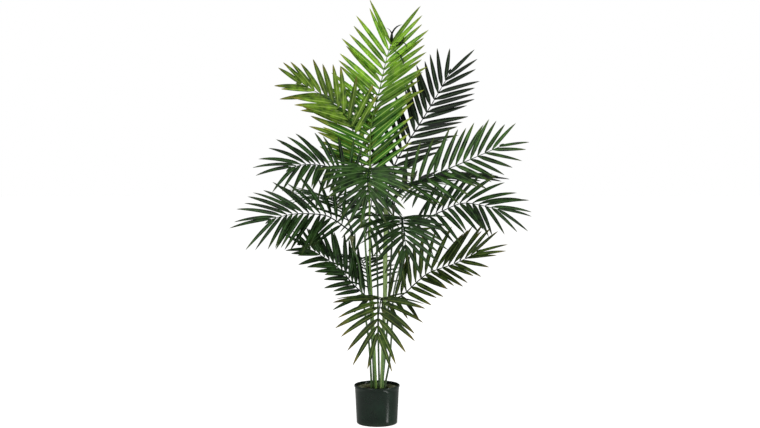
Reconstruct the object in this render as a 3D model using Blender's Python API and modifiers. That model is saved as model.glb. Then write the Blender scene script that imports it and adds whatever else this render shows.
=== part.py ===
"""Potted palm: a clump of feather-palm fronds on nine stems, in a round nursery pot.

Metres, +Z up. The pot stands on the origin, and -Y is the side the brightest frond faces.
"""

import math

import bmesh
import bpy
from mathutils import Vector
from mathutils.bvhtree import BVHTree

GAP = 0.0003  # left between pieces that touch
ROUND_STEPS = 40  # sides of a turned piece

# The pot, and what fills it.
POT_HEIGHT = 0.140
POT_RIM_RADIUS = 0.0805  # outside, below the lip
POT_BASE_RADIUS = 0.0735
POT_WALL = 0.0020
POT_FLOOR = 0.0030
POT_FOOT_ROUND = 0.0040
LIP_HEIGHT = 0.0060
LIP_PROUD = 0.0020
DRAIN_HOLES = 6
DRAIN_RADIUS = 0.0050
DRAIN_CIRCLE = 0.0500
SOIL_DEPTH_BELOW_RIM = 0.0150
MOSS_INNER_RADIUS = 0.0460
MOSS_HEIGHT = 0.0050

# The plant: how large it has grown, as a multiple of the places and lengths in the two tables below.
PLANT_SCALE = 1.0

# Stems: a slim foot, and a wider sheath at the top that the leaf stalks stand on.
STEM_FOOT_RADIUS = 0.0038
SHEATH_EDGE = 0.0003  # left round the stalks that stand on a sheath
SHEATH_LENGTH = 0.030
SHEATH_COLLAR = 0.006  # its straight end
STEM_FOOT_LENGTH = 0.020  # its straight start
STEM_SIDES = 2  # bevel resolution of a round stem: eight sides

# Fronds: a stalk that narrows into the rib, with a row of leaflets on each side.
STALK_WIDTH = 0.0062
RIB_TIP_WIDTH = 0.0024
RIB_DEPTH = 0.80  # of its width
STALK_FOOT_SPACE = 0.0006  # from a stalk's corners to its sheath's middle
STALK_FOOT_RISE = 0.014
LEAFLET_WIDTH = 0.0200
LEAFLET_ROOT_WIDTH = 0.0050
LEAFLET_THICKNESS = 0.0012
LEAFLET_SWELL = (0.26, 0.80)  # the part of a half wave that leaflet lengths follow from stalk to tip
LEAFLETS_CLOSED = 14  # degrees between the rib and its last leaflets
LEAFLET_WIDEST = 0.42  # of the way along a leaflet
LEAFLET_CLEARANCE = 0.0006  # between leaflets of different fronds

# Each stem: its foot and the places it passes, then the middle of its top. Every place in the
# two tables is measured from the middle of the soil's surface.
STEMS = {
    "stem_1": {
        "way": [
            (-0.020, -0.004), (-0.030, -0.005, 0.175), (-0.056, -0.008, 0.362),
            (-0.066, -0.010, 0.453),
        ],
        "top": (-0.090, -0.012, 0.555),
        "radius": 0.0034,
    },
    "stem_2": {
        "way": [
            (-0.010, 0.008), (-0.018, 0.007, 0.175), (-0.026, 0.006, 0.344), (-0.037, 0.004, 0.445),
        ],
        "top": (-0.050, 0.002, 0.695),
        "radius": 0.0034,
    },
    "stem_3": {
        "way": [
            (-0.003, -0.013), (-0.010, -0.015, 0.175), (-0.020, -0.018, 0.369),
            (-0.025, -0.021, 0.463),
        ],
        "top": (-0.027, -0.022, 0.745),
        "radius": 0.0036,
    },
    "stem_4": {
        "way": [
            (0.008, 0.014), (0.005, 0.020, 0.175), (0.003, 0.026, 0.351), (0.000, 0.030, 0.467),
        ],
        "top": (-0.004, 0.036, 0.725),
        "radius": 0.0032,
    },
    "stem_5": {
        "way": [
            (0.015, -0.004), (0.022, -0.001, 0.175), (0.029, 0.000, 0.344), (0.030, 0.000, 0.474),
        ],
        "top": (0.033, 0.000, 0.655),
        "radius": 0.0080,
    },
    "stem_6": {
        "way": [(0.022, -0.020), (0.024, -0.026, 0.175)],
        "top": (0.024, -0.032, 0.300),
        "radius": 0.0036,
    },
    "stem_7": {
        "way": [
            (0.031, 0.005), (0.045, 0.004, 0.096), (0.054, 0.000, 0.215), (0.060, -0.003, 0.344),
            (0.085, -0.006, 0.453),
        ],
        "top": (0.094, -0.008, 0.565),
        "radius": 0.0030,
    },
    "stem_8": {
        "way": [(-0.012, 0.026), (-0.016, 0.032, 0.175)],
        "top": (-0.018, 0.036, 0.300),
        "radius": 0.0036,
    },
    "stem_9": {
        "way": [(0.021, 0.024), (0.034, 0.030, 0.175), (0.046, 0.034, 0.375)],
        "top": (0.060, 0.036, 0.665),
        "radius": 0.0034,
    },
}

# Each frond: the stem it stands on, the places its rib passes from there to its tip, the bare
# length of stalk before the first leaflets, the way its upper side faces, the pairs of leaflets,
# the longest leaflet, the leaflets' angles to the rib at its two ends, how far they lift above
# the frond's plane, and the share of its length that a leaflet's tip sinks. Some have their own
# swell, the angle of the last leaflets that close round the tip, and the angle by which the
# leaflets lean to one side.
FRONDS = {
    "frond_1": {
        "stem": "stem_3",
        "way": [
            (-0.025, 0.000, 0.805), (-0.021, 0.020, 0.950), (0.011, 0.035, 1.088),
            (0.033, 0.040, 1.187), (0.052, 0.030, 1.250),
        ],
        "bare": 0.040,
        "face": (-0.10, -1.00, 0.25),
        "pairs": 20,
        "leaf": 0.198,
        "open": (60, 46),
        "lift": 6,
        "droop": 0.05,
        "swell": (0.34, 0.68),
        "closed": 34,
        "lean": -8,
    },
    "frond_2": {
        "stem": "stem_2",
        "way": [
            (-0.058, 0.010, 0.835), (-0.097, 0.015, 0.960), (-0.136, 0.010, 1.010),
            (-0.186, 0.000, 1.053), (-0.275, -0.020, 1.101),
        ],
        "bare": 0.110,
        "face": (0.10, -1.00, 0.45),
        "pairs": 15,
        "leaf": 0.172,
        "open": (58, 28),
        "lift": 8,
        "droop": 0.06,
        "swell": (0.36, 0.82),
    },
    "frond_3": {
        "stem": "stem_5",
        "way": [
            (0.061, 0.010, 0.802), (0.110, 0.030, 0.889), (0.148, 0.050, 0.947),
            (0.202, 0.070, 1.035), (0.268, 0.090, 1.147),
        ],
        "bare": 0.120,
        "face": (-0.10, -1.00, 0.35),
        "pairs": 16,
        "leaf": 0.176,
        "open": (50, 44),
        "lift": 6,
        "droop": 0.04,
        "swell": (0.36, 0.78),
    },
    "frond_4": {
        "stem": "stem_5",
        "way": [
            (0.101, -0.030, 0.730), (0.193, -0.060, 0.770), (0.259, -0.080, 0.799),
            (0.349, -0.110, 0.838), (0.432, -0.130, 0.875),
        ],
        "bare": 0.100,
        "face": (-0.15, -1.00, 0.55),
        "pairs": 14,
        "leaf": 0.172,
        "open": (56, 42),
        "lift": 14,
        "droop": 0.08,
        "swell": (0.36, 0.81),
    },
    "frond_5": {
        "stem": "stem_7",
        "way": [
            (0.150, -0.030, 0.605), (0.219, -0.060, 0.640), (0.299, -0.100, 0.675),
            (0.368, -0.135, 0.668), (0.422, -0.162, 0.654),
        ],
        "bare": 0.070,
        "face": (0.05, -0.70, 0.80),
        "pairs": 14,
        "leaf": 0.184,
        "open": (66, 44),
        "lift": 4,
        "droop": 0.16,
        "swell": (0.34, 0.80),
    },
    "frond_6": {
        "stem": "stem_6",
        "way": [
            (0.090, -0.050, 0.345), (0.143, -0.070, 0.395), (0.188, -0.090, 0.431),
            (0.277, -0.130, 0.467), (0.350, -0.160, 0.507),
        ],
        "bare": 0.030,
        "face": (-0.10, -0.70, 0.80),
        "pairs": 17,
        "leaf": 0.180,
        "open": (72, 36),
        "lift": 15,
        "droop": 0.08,
        "swell": (0.34, 0.78),
    },
    "frond_7": {
        "stem": "stem_2",
        "way": [
            (-0.110, -0.040, 0.775), (-0.155, -0.070, 0.799), (-0.203, -0.100, 0.809),
            (-0.250, -0.130, 0.811), (-0.300, -0.160, 0.800),
        ],
        "bare": 0.080,
        "face": (0.05, -0.80, 0.75),
        "pairs": 14,
        "leaf": 0.170,
        "open": (68, 40),
        "lift": 14,
        "droop": 0.20,
        "swell": (0.36, 0.74),
    },
    "frond_8": {
        "stem": "stem_1",
        "way": [
            (-0.161, -0.040, 0.620), (-0.203, -0.060, 0.634), (-0.278, -0.090, 0.638),
            (-0.332, -0.116, 0.630), (-0.374, -0.133, 0.618),
        ],
        "bare": 0.060,
        "face": (-0.05, -0.80, 0.70),
        "pairs": 14,
        "leaf": 0.190,
        "open": (66, 40),
        "lift": 6,
        "droop": 0.15,
        "swell": (0.36, 0.77),
    },
    "frond_9": {
        "stem": "stem_8",
        "way": [
            (-0.086, 0.000, 0.379), (-0.121, -0.020, 0.424), (-0.167, -0.040, 0.465),
            (-0.222, -0.060, 0.501), (-0.275, -0.075, 0.530),
        ],
        "bare": 0.030,
        "face": (0.10, -0.70, 0.80),
        "pairs": 17,
        "leaf": 0.194,
        "open": (56, 36),
        "lift": 14,
        "droop": 0.08,
        "swell": (0.60, 0.90),
    },
    "frond_10": {
        "stem": "stem_6",
        "way": [
            (0.018, -0.090, 0.340), (0.012, -0.150, 0.330), (0.006, -0.210, 0.290),
            (0.002, -0.255, 0.235),
        ],
        "bare": 0.050,
        "face": (0.00, -0.60, 1.00),
        "pairs": 9,
        "leaf": 0.165,
        "open": (84, 30),
        "lift": 4,
        "droop": 0.14,
        "swell": (0.40, 0.74),
    },
    "frond_11": {
        "stem": "stem_7",
        "way": [
            (0.088, -0.100, 0.625), (0.090, -0.180, 0.610), (0.094, -0.245, 0.570),
            (0.098, -0.295, 0.520),
        ],
        "bare": 0.060,
        "face": (0.00, -0.60, 1.00),
        "pairs": 13,
        "leaf": 0.172,
        "open": (82, 30),
        "lift": 4,
        "droop": 0.14,
        "swell": (0.36, 0.76),
    },
    "frond_12": {
        "stem": "stem_3",
        "way": [
            (-0.029, -0.090, 0.795), (-0.031, -0.170, 0.785), (-0.031, -0.235, 0.755),
            (-0.030, -0.285, 0.705),
        ],
        "bare": 0.060,
        "face": (0.00, -0.60, 1.00),
        "pairs": 13,
        "leaf": 0.172,
        "open": (88, 34),
        "lift": 4,
        "droop": 0.14,
        "swell": (0.36, 0.76),
    },
    "frond_13": {
        "stem": "stem_9",
        "way": [
            (0.100, 0.040, 0.725), (0.159, 0.060, 0.753), (0.265, 0.090, 0.767),
            (0.390, 0.120, 0.765),
        ],
        "bare": 0.080,
        "face": (0.00, -0.10, 1.00),
        "pairs": 12,
        "leaf": 0.165,
        "open": (60, 36),
        "lift": 2,
        "droop": 0.04,
        "swell": (0.36, 0.80),
    },
    "frond_14": {
        "stem": "stem_4",
        "way": [
            (-0.030, 0.090, 0.835), (-0.055, 0.140, 0.931), (-0.094, 0.210, 1.025),
            (-0.130, 0.290, 1.085),
        ],
        "bare": 0.090,
        "face": (0.20, -0.60, 0.80),
        "pairs": 12,
        "leaf": 0.172,
        "open": (62, 38),
        "lift": 6,
        "droop": 0.10,
        "swell": (0.36, 0.80),
    },
    "frond_15": {
        "stem": "stem_9",
        "way": [
            (0.090, 0.120, 0.725), (0.120, 0.210, 0.740), (0.150, 0.290, 0.725),
            (0.175, 0.370, 0.690),
        ],
        "bare": 0.080,
        "face": (0.00, 0.30, 1.00),
        "pairs": 12,
        "leaf": 0.170,
        "open": (62, 38),
        "lift": 4,
        "droop": 0.12,
        "swell": (0.36, 0.80),
    },
    "frond_16": {
        "stem": "stem_4",
        "way": [
            (0.004, 0.120, 0.755), (-0.010, 0.210, 0.725), (-0.025, 0.290, 0.645),
            (-0.036, 0.340, 0.545),
        ],
        "bare": 0.080,
        "face": (0.00, 0.70, 0.90),
        "pairs": 12,
        "leaf": 0.170,
        "open": (62, 38),
        "lift": 2,
        "droop": 0.16,
        "swell": (0.36, 0.80),
    },
    "frond_17": {
        "stem": "stem_8",
        "way": [
            (-0.030, 0.120, 0.375), (-0.045, 0.200, 0.420), (-0.060, 0.280, 0.445),
            (-0.075, 0.370, 0.445),
        ],
        "bare": 0.080,
        "face": (0.00, 0.30, 1.00),
        "pairs": 12,
        "leaf": 0.165,
        "open": (62, 38),
        "lift": 4,
        "droop": 0.10,
        "swell": (0.36, 0.80),
    },
    "frond_18": {
        "stem": "stem_1",
        "way": [
            (-0.120, 0.080, 0.635), (-0.160, 0.160, 0.675), (-0.205, 0.240, 0.690),
            (-0.250, 0.320, 0.675),
        ],
        "bare": 0.080,
        "face": (0.00, 0.30, 1.00),
        "pairs": 12,
        "leaf": 0.170,
        "open": (62, 38),
        "lift": 4,
        "droop": 0.10,
        "swell": (0.36, 0.80),
    },
}

# Turns a leaflet may take to stay clear of its neighbours, in degrees: away from the rib, and up.
LEAFLET_TURNS = [(0, 0), (0, 7), (0, -7), (6, 0), (-6, 0), (0, 14), (0, -14)]
LEAFLET_TURNS += [(8, 10), (-8, -10), (8, -10), (-8, 10), (0, 22), (0, -22)]
LEAFLET_TURNS += [(12, 18), (-12, -18), (0, 32), (0, -32)]
LEAFLET_SHORTENED = [1.0, 0.85, 0.7, 0.55, 0.4, 0.28, 0.18]

MATERIALS = {
    "pot": ((0.020, 0.033, 0.025, 1), 0.45),
    "soil": ((0.050, 0.035, 0.022, 1), 0.95),
    "moss": ((0.110, 0.130, 0.035, 1), 0.90),
    "stem": ((0.120, 0.220, 0.045, 1), 0.50),
    "cane": ((0.240, 0.400, 0.090, 1), 0.45),
    "bright_leaf": ((0.170, 0.380, 0.035, 1), 0.40),
    "green_leaf": ((0.045, 0.130, 0.022, 1), 0.40),
    "dark_leaf": ((0.016, 0.055, 0.018, 1), 0.40),
}
LEAF_OF = {
    "frond_1": "bright_leaf",
    "frond_2": "bright_leaf",
    "frond_4": "green_leaf",
    "frond_6": "green_leaf",
    "frond_12": "green_leaf",
    "frond_14": "green_leaf",
}


def clear_scene():
    for obj in list(bpy.data.objects):
        bpy.data.objects.remove(obj)


def new_collection(name):
    made = bpy.data.collections.new(name)
    bpy.context.scene.collection.children.link(made)
    return made


def new_material(name):
    colour, roughness = MATERIALS[name]
    material = bpy.data.materials.new(name)
    material.use_nodes = True
    material.diffuse_color = colour
    surface = material.node_tree.nodes["Principled BSDF"]
    surface.inputs["Base Color"].default_value = colour
    surface.inputs["Roughness"].default_value = roughness
    surface.inputs["Metallic"].default_value = 0.0
    return material


def add_object(name, data, collection, material):
    obj = bpy.data.objects.new(name, data)
    collection.objects.link(obj)
    if material:
        obj.data.materials.append(material)
    return obj


def turned(name, outline, collection, material):
    """A solid of revolution about Z from (radius, height) points that run down its outer side."""
    bm = bmesh.new()
    points = [bm.verts.new((radius, 0, height)) for radius, height in outline]
    for first, second in zip(points, points[1:]):
        bm.edges.new((first, second))
    if outline[0] != outline[-1] and outline[0][0] > 0:
        bm.edges.new((points[-1], points[0]))
    mesh = bpy.data.meshes.new(name)
    bm.to_mesh(mesh)
    bm.free()
    obj = add_object(name, mesh, collection, material)
    screw = obj.modifiers.new("turn", "SCREW")
    screw.steps = ROUND_STEPS
    screw.render_steps = ROUND_STEPS
    screw.use_merge_vertices = True
    screw.merge_threshold = 0.00005
    return obj


def rounded(centre, radius, start, end, steps):
    """Points of an arc about centre, as (radius, height), from one angle to another in degrees."""
    angles = [math.radians(start + (end - start) * i / steps) for i in range(steps + 1)]
    return [(centre[0] + radius * math.cos(a), centre[1] + radius * math.sin(a)) for a in angles]


def outer_radius(height):
    """The pot's outside below its lip."""
    return POT_BASE_RADIUS + (POT_RIM_RADIUS - POT_BASE_RADIUS) * height / POT_HEIGHT


def build_pot(collection, cutters, material):
    lip_radius = POT_RIM_RADIUS + LIP_PROUD
    lip_round = (LIP_PROUD + POT_WALL) / 2
    lip_centre = (lip_radius - lip_round, POT_HEIGHT - lip_round)
    foot_centre = (POT_BASE_RADIUS - POT_FOOT_ROUND, POT_FOOT_ROUND)
    outline = [(0, POT_FLOOR), (outer_radius(POT_FLOOR) - POT_WALL, POT_FLOOR)]
    outline += rounded(lip_centre, lip_round, 180, 0, 6)
    lip_low = POT_HEIGHT - LIP_HEIGHT
    outline += [(lip_radius, lip_low), (outer_radius(lip_low), lip_low - LIP_PROUD / 2)]
    outline += rounded(foot_centre, POT_FOOT_ROUND, 0, -90, 4)
    outline.append((0, 0))
    pot = turned("pot", outline, collection, material)
    drill = bmesh.new()
    for i in range(DRAIN_HOLES):
        made = bmesh.ops.create_cone(
            drill,
            cap_ends=True,
            segments=12,
            radius1=DRAIN_RADIUS,
            radius2=DRAIN_RADIUS,
            depth=POT_FLOOR * 4,
        )
        angle = math.tau * (i + 0.5) / DRAIN_HOLES
        middle = Vector((math.cos(angle), math.sin(angle), 0)) * DRAIN_CIRCLE
        bmesh.ops.translate(drill, verts=made["verts"], vec=middle)
    mesh = bpy.data.meshes.new("drain_holes")
    drill.to_mesh(mesh)
    drill.free()
    cutter = add_object("drain_holes", mesh, cutters, None)
    cutter.hide_render = True
    cutter.display_type = "WIRE"
    cut = pot.modifiers.new("drain_holes", "BOOLEAN")
    cut.operation = "DIFFERENCE"
    cut.solver = "EXACT"
    cut.object = cutter
    return pot


def soil_top():
    return POT_HEIGHT - SOIL_DEPTH_BELOW_RIM


def build_soil(collection, material):
    low = POT_FLOOR + GAP
    inset = POT_WALL + GAP * 2
    outline = [
        (0, soil_top()),
        (outer_radius(soil_top()) - inset, soil_top()),
        (outer_radius(low) - inset, low),
        (0, low),
    ]
    return turned("soil", outline, collection, material)


def build_moss(collection, material):
    low = soil_top() + GAP
    outer = outer_radius(low) - POT_WALL - GAP * 4
    middle = (MOSS_INNER_RADIUS + outer) / 2
    half = (outer - MOSS_INNER_RADIUS) / 2
    arch = []
    for i in range(7):
        turn = math.pi * i / 6
        arch.append((middle - half * math.cos(turn), low + MOSS_HEIGHT * (0.35 + 0.65 * math.sin(turn))))
    return turned("moss", [(MOSS_INNER_RADIUS, low)] + arch + [(outer, low)], collection, material)


def smooth_way(points, steps=8):
    """A Catmull-Rom curve through the points, as a list of places along it."""
    ends = [points[0] * 2 - points[1]] + points + [points[-1] * 2 - points[-2]]
    way = []
    for a, b, c, d in zip(ends, ends[1:], ends[2:], ends[3:]):
        for i in range(steps):
            t = i / steps
            square = (2 * a - 5 * b + 4 * c - d) * t**2
            cube = (3 * b - a - 3 * c + d) * t**3
            way.append((2 * b + (c - a) * t + square + cube) / 2)
    way.append(points[-1].copy())
    return way


def place_along(way, distance):
    """The place and the direction at a distance along a way."""
    left = distance
    for first, second in zip(way, way[1:]):
        step = (second - first).length
        if left <= step or second is way[-1]:
            return first + (second - first) * (left / step), (second - first).normalized()
        left -= step


def grown_place(point):
    """A place of the tables, in the finished plant."""
    return Vector(point) * PLANT_SCALE + Vector((0, 0, soil_top()))


def length_of(way):
    return sum((second - first).length for first, second in zip(way, way[1:]))


def foot_reach():
    """From the middle of a stalk's foot to its corners."""
    return math.hypot(STALK_WIDTH, STALK_WIDTH * RIB_DEPTH) / 2


def sheath_radius():
    return 2 * foot_reach() + STALK_FOOT_SPACE + SHEATH_EDGE


def stem_way(spec):
    foot = grown_place((*spec["way"][0], 0)) + Vector((0, 0, GAP))
    top = grown_place(spec["top"])
    points = [foot, foot + Vector((0, 0, STEM_FOOT_LENGTH))]
    points += [grown_place(point) for point in spec["way"][1:]]
    points += [top - Vector((0, 0, SHEATH_LENGTH)), top - Vector((0, 0, SHEATH_COLLAR)), top]
    return points


def build_stem(name, spec, collection, material):
    points = stem_way(spec)
    way = [points[0]] + smooth_way(points[1:-2], 3) + points[-2:]
    curve = bpy.data.curves.new(name, "CURVE")
    curve.dimensions = "3D"
    curve.bevel_depth = 1.0
    curve.bevel_resolution = STEM_SIDES
    curve.use_fill_caps = True
    spline = curve.splines.new("POLY")
    spline.points.add(len(way) - 1)
    sheath_from = points[-1].z - SHEATH_LENGTH
    for place, point in zip(way, spline.points):
        rise = (place.z - points[0].z) / (sheath_from - points[0].z)
        radius = STEM_FOOT_RADIUS + (spec["radius"] - STEM_FOOT_RADIUS) * min(1.0, rise * 1.6)
        if place.z >= sheath_from:
            flare = min(1.0, (place.z - sheath_from) / (SHEATH_LENGTH - SHEATH_COLLAR))
            radius += (sheath_radius() - radius) * flare
        point.co = (*place, 1)
        point.radius = radius
    return add_object(name, curve, collection, material)


def heading_of(spec):
    """The level direction in which a frond leaves its stem."""
    heading = Vector(spec["way"][1]) - Vector(STEMS[spec["stem"]]["top"])
    heading.z = 0
    return heading.normalized()


def frond_way(name, spec):
    """The frond's rib, from its foot on top of the stem's sheath to its tip."""
    beside = [other for key, other in FRONDS.items() if other["stem"] == spec["stem"] and key != name]
    apart = sum((heading_of(spec) - heading_of(other) for other in beside), Vector())
    foot = grown_place(STEMS[spec["stem"]]["top"]) + Vector((0, 0, GAP))
    if beside:
        foot += apart.normalized() * (foot_reach() + STALK_FOOT_SPACE)
    points = [foot + Vector((0, 0, STALK_FOOT_RISE))] + [grown_place(point) for point in spec["way"]]
    return [foot] + smooth_way(points)


def frame_at(way, distance, spec):
    """The place, and the frond's directions along, across and out of its upper side."""
    place, along = place_along(way, distance)
    up_the_stalk = min(1.0, distance / bare_length(spec))
    face = (-heading_of(spec)).lerp(Vector(spec["face"]).normalized(), up_the_stalk)
    out = (face - along * along.dot(face)).normalized()
    return place, along, along.cross(out), out


def rib_width(share):
    return STALK_WIDTH + (RIB_TIP_WIDTH - STALK_WIDTH) * share


def bare_length(spec):
    return spec["bare"] * PLANT_SCALE


def pair_distance(spec, total, pair):
    """How far along the rib a pair of leaflets grows."""
    share = pair / (spec["pairs"] - 1)
    bare = bare_length(spec)
    return bare + (total - bare - LEAFLET_ROOT_WIDTH) * share**0.94


def stalk_rows(spec):
    steps = max(3, round(spec["bare"] / 0.020))
    return [bare_length(spec) * 0.92 * i / steps for i in range(steps)]


def rib_rows(spec, total):
    """Distances along the rib of its sections: down the bare stalk, then each side of each pair."""
    rows = stalk_rows(spec)
    for pair in range(spec["pairs"]):
        middle = pair_distance(spec, total, pair)
        rows += [middle - LEAFLET_ROOT_WIDTH / 2, middle + LEAFLET_ROOT_WIDTH / 2]
    return rows


def leaflet_plan(number, spec, way, pair, side, turn, lift, shortened):
    """One leaflet: the corners of its widest section, and its tip, for a turn from its usual place."""
    total = length_of(way)
    share = pair / (spec["pairs"] - 1)
    distance = pair_distance(spec, total, pair)
    root, along, across, out = frame_at(way, distance, spec)
    wave = math.sin(2.4 * pair + 1.7 * number + side)
    opened = spec["open"][0] + (spec["open"][1] - spec["open"][0]) * share
    closing = max(0.0, (share - 0.78) / 0.22)
    opened += (spec.get("closed", LEAFLETS_CLOSED) - opened) * closing**1.3
    opened += 2.5 * wave + turn + spec.get("lean", 0) * side
    raised = math.radians(spec["lift"] + 4 * math.cos(1.9 * pair + number) + lift)
    opened = math.radians(max(opened, 10))
    sideways = across * side * math.cos(raised) + out * math.sin(raised)
    heading = along * math.cos(opened) + sideways * math.sin(opened)
    low, high = spec.get("swell", LEAFLET_SWELL)
    longest = spec["leaf"] * PLANT_SCALE * (1 + 0.05 * wave)
    length = longest * math.sin(math.pi * (low + (high - low) * share)) ** 0.8 * shortened
    root = root + across * side * rib_width(distance / total) / 2
    broad = (along - heading * along.dot(heading)).normalized()
    upper = heading.cross(broad)
    if upper.dot(out) < 0:
        upper = -upper
    sink = Vector((0, 0, -spec["droop"] * length))
    middle = root + heading * length * LEAFLET_WIDEST + sink * LEAFLET_WIDEST**2
    tip = root + heading * length + sink
    width = LEAFLET_WIDTH * (0.62 + 0.38 * math.sin(math.pi * (0.15 + 0.75 * share)))
    return {
        "root": root,
        "middle": middle,
        "tip": tip,
        "broad": broad,
        "upper": upper,
        "width": width * (0.6 + 0.4 * shortened),
    }


def section(place, broad, upper, width, thickness):
    """Corners across a leaflet: the two of its upper side, the near one first, then the two below."""
    wide = broad * (width / 2)
    thick = upper * (thickness / 2)
    return [place - wide + thick, place + wide + thick, place + wide - thick, place - wide - thick]


def rib_section(way, distance, total, spec):
    """Corners across the rib: right and left above, then left and right below."""
    place, along, across, out = frame_at(way, distance, spec)
    wide = across * (rib_width(distance / total) / 2)
    deep = out * (rib_width(distance / total) * RIB_DEPTH / 2)
    return [place + wide + deep, place - wide + deep, place - wide - deep, place + wide - deep]


def leaflet_tree(plan, start):
    """A leaflet's outside, a little grown, from a share of the way to its widest part."""
    grown = LEAFLET_CLEARANCE / 2
    near = plan["root"].lerp(plan["middle"], start)
    root_width = LEAFLET_ROOT_WIDTH + 2 * grown
    width = plan["width"] + 2 * grown
    thickness = LEAFLET_THICKNESS + 2 * grown
    points = section(near, plan["broad"], plan["upper"], root_width, STALK_WIDTH * RIB_DEPTH)
    points += section(plan["middle"], plan["broad"], plan["upper"], width, thickness)
    points.append(plan["tip"] + (plan["tip"] - plan["middle"]).normalized() * grown)
    faces = [(i, (i + 1) % 4, 4 + (i + 1) % 4, 4 + i) for i in range(4)]
    faces += [(4 + i, 4 + (i + 1) % 4, 8) for i in range(4)]
    return BVHTree.FromPolygons(points, faces)


def tube_tree(way, start_radius, end_radius):
    """A square tube about a stem or a rib, to test leaflets against."""
    points = []
    faces = []
    first = (way[1] - way[0]).orthogonal()
    for i, place in enumerate(way):
        along = (way[min(i + 1, len(way) - 1)] - way[max(i - 1, 0)]).normalized()
        first = (first - along * along.dot(first)).normalized()
        second = along.cross(first)
        radius = start_radius + (end_radius - start_radius) * i / (len(way) - 1)
        points += [place + side * radius for side in (first, second, -first, -second)]
    for low in range(0, 4 * (len(way) - 1), 4):
        faces += [(low + j, low + (j + 1) % 4, low + 4 + (j + 1) % 4, low + 4 + j) for j in range(4)]
    return BVHTree.FromPolygons(points, faces)


def plan_leaflets():
    """Each frond's leaflets, turned or shortened until they clear every stem, rib and leaflet."""
    ways = {name: frond_way(name, spec) for name, spec in FRONDS.items()}
    taken = []
    for name, spec in STEMS.items():
        radius = 1.3 * max(spec["radius"], STEM_FOOT_RADIUS)
        taken.append((name, tube_tree(smooth_way(stem_way(spec), 3), radius, radius)))
        top = grown_place(spec["top"])
        sheath = [top - Vector((0, 0, SHEATH_LENGTH)), top]
        taken.append((name, tube_tree(sheath, sheath_radius() * 1.3, sheath_radius() * 1.3)))
    for name, way in ways.items():
        places = [place_along(way, row)[0] for row in rib_rows(FRONDS[name], length_of(way))]
        taken.append((name, tube_tree(places, STALK_WIDTH * 0.8, RIB_TIP_WIDTH * 0.8)))
    plans = {name: [] for name in FRONDS}
    for number, (name, spec) in enumerate(FRONDS.items()):
        others = [tree for owner, tree in taken if owner != name]
        beside = []
        for pair in range(spec["pairs"]):
            for side in (1, -1):
                plan = clear_leaflet(number, spec, ways[name], pair, side, others, beside)
                plans[name].append(plan)
                beside.append(leaflet_tree(plan, 0.10))
                taken.append((name, leaflet_tree(plan, 0)))
    return ways, plans


def clear_leaflet(number, spec, way, pair, side, others, beside):
    """The first place that is clear of other pieces, and of the frond's own leaflets past their roots."""
    for shortened in LEAFLET_SHORTENED:
        for turn, lift in LEAFLET_TURNS:
            plan = leaflet_plan(number, spec, way, pair, side, turn, lift, shortened)
            whole = leaflet_tree(plan, 0)
            blade = leaflet_tree(plan, 0.10)
            if not any(whole.overlap(other) for other in others) and not any(
                blade.overlap(other) for other in beside
            ):
                return plan
    return plan


def draw_out(bm, ring, corners):
    """Extrudes the face on a ring of four corners, and moves its new corners into place."""
    face = bm.faces.get(ring)
    before = face.verts[:]
    made = bmesh.ops.extrude_discrete_faces(bm, faces=[face])["faces"][0]
    new = dict(zip(before, made.verts))
    for old, place in zip(ring, corners):
        new[old].co = place
    return [new[old] for old in ring]


def build_frond(name, spec, way, plans, collection, material):
    """A square rib drawn out row by row, then each leaflet drawn out of a side face of the rib."""
    total = length_of(way)
    rows = rib_rows(spec, total)
    first = len(stalk_rows(spec))
    bm = bmesh.new()
    ring = bmesh.ops.create_circle(bm, cap_ends=True, segments=4, radius=STALK_WIDTH)["verts"]
    for vert, place in zip(ring, rib_section(way, 0, total, spec)):
        vert.co = place
    rings = [ring]
    for row in rows[1:]:
        rings.append(draw_out(bm, rings[-1], rib_section(way, row, total, spec)))
    bm.faces.new(rings[0])
    for number, plan in enumerate(plans):
        near, far = rings[first + number // 2 * 2], rings[first + number // 2 * 2 + 1]
        above, below = (0, 3) if number % 2 == 0 else (1, 2)
        root = [near[above], far[above], far[below], near[below]]
        corners = section(plan["middle"], plan["broad"], plan["upper"], plan["width"], LEAFLET_THICKNESS)
        widest = draw_out(bm, root, corners)
        end = draw_out(bm, widest, corners)
        bmesh.ops.pointmerge(bm, verts=end, merge_co=plan["tip"])
    bmesh.ops.recalc_face_normals(bm, faces=bm.faces)
    mesh = bpy.data.meshes.new(name)
    bm.to_mesh(mesh)
    bm.free()
    return add_object(name, mesh, collection, material)


def main():
    clear_scene()
    parts = new_collection("potted_palm")
    cutters = new_collection("cutters")
    cutters.hide_render = True
    materials = {name: new_material(name) for name in MATERIALS}
    build_pot(parts, cutters, materials["pot"])
    build_soil(parts, materials["soil"])
    build_moss(parts, materials["moss"])
    for name, spec in STEMS.items():
        build_stem(name, spec, parts, materials["cane" if name == "stem_5" else "stem"])
    ways, plans = plan_leaflets()
    for name, spec in FRONDS.items():
        material = materials[LEAF_OF.get(name, "dark_leaf")]
        build_frond(name, spec, ways[name], plans[name], parts, material)


main()
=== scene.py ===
# A potted palm: feathered fronds on nine stems, in a moulded nursery pot.

import math
import random

import bmesh
import bpy
from mathutils import Matrix, Vector, noise
from mathutils.bvhtree import BVHTree


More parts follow.
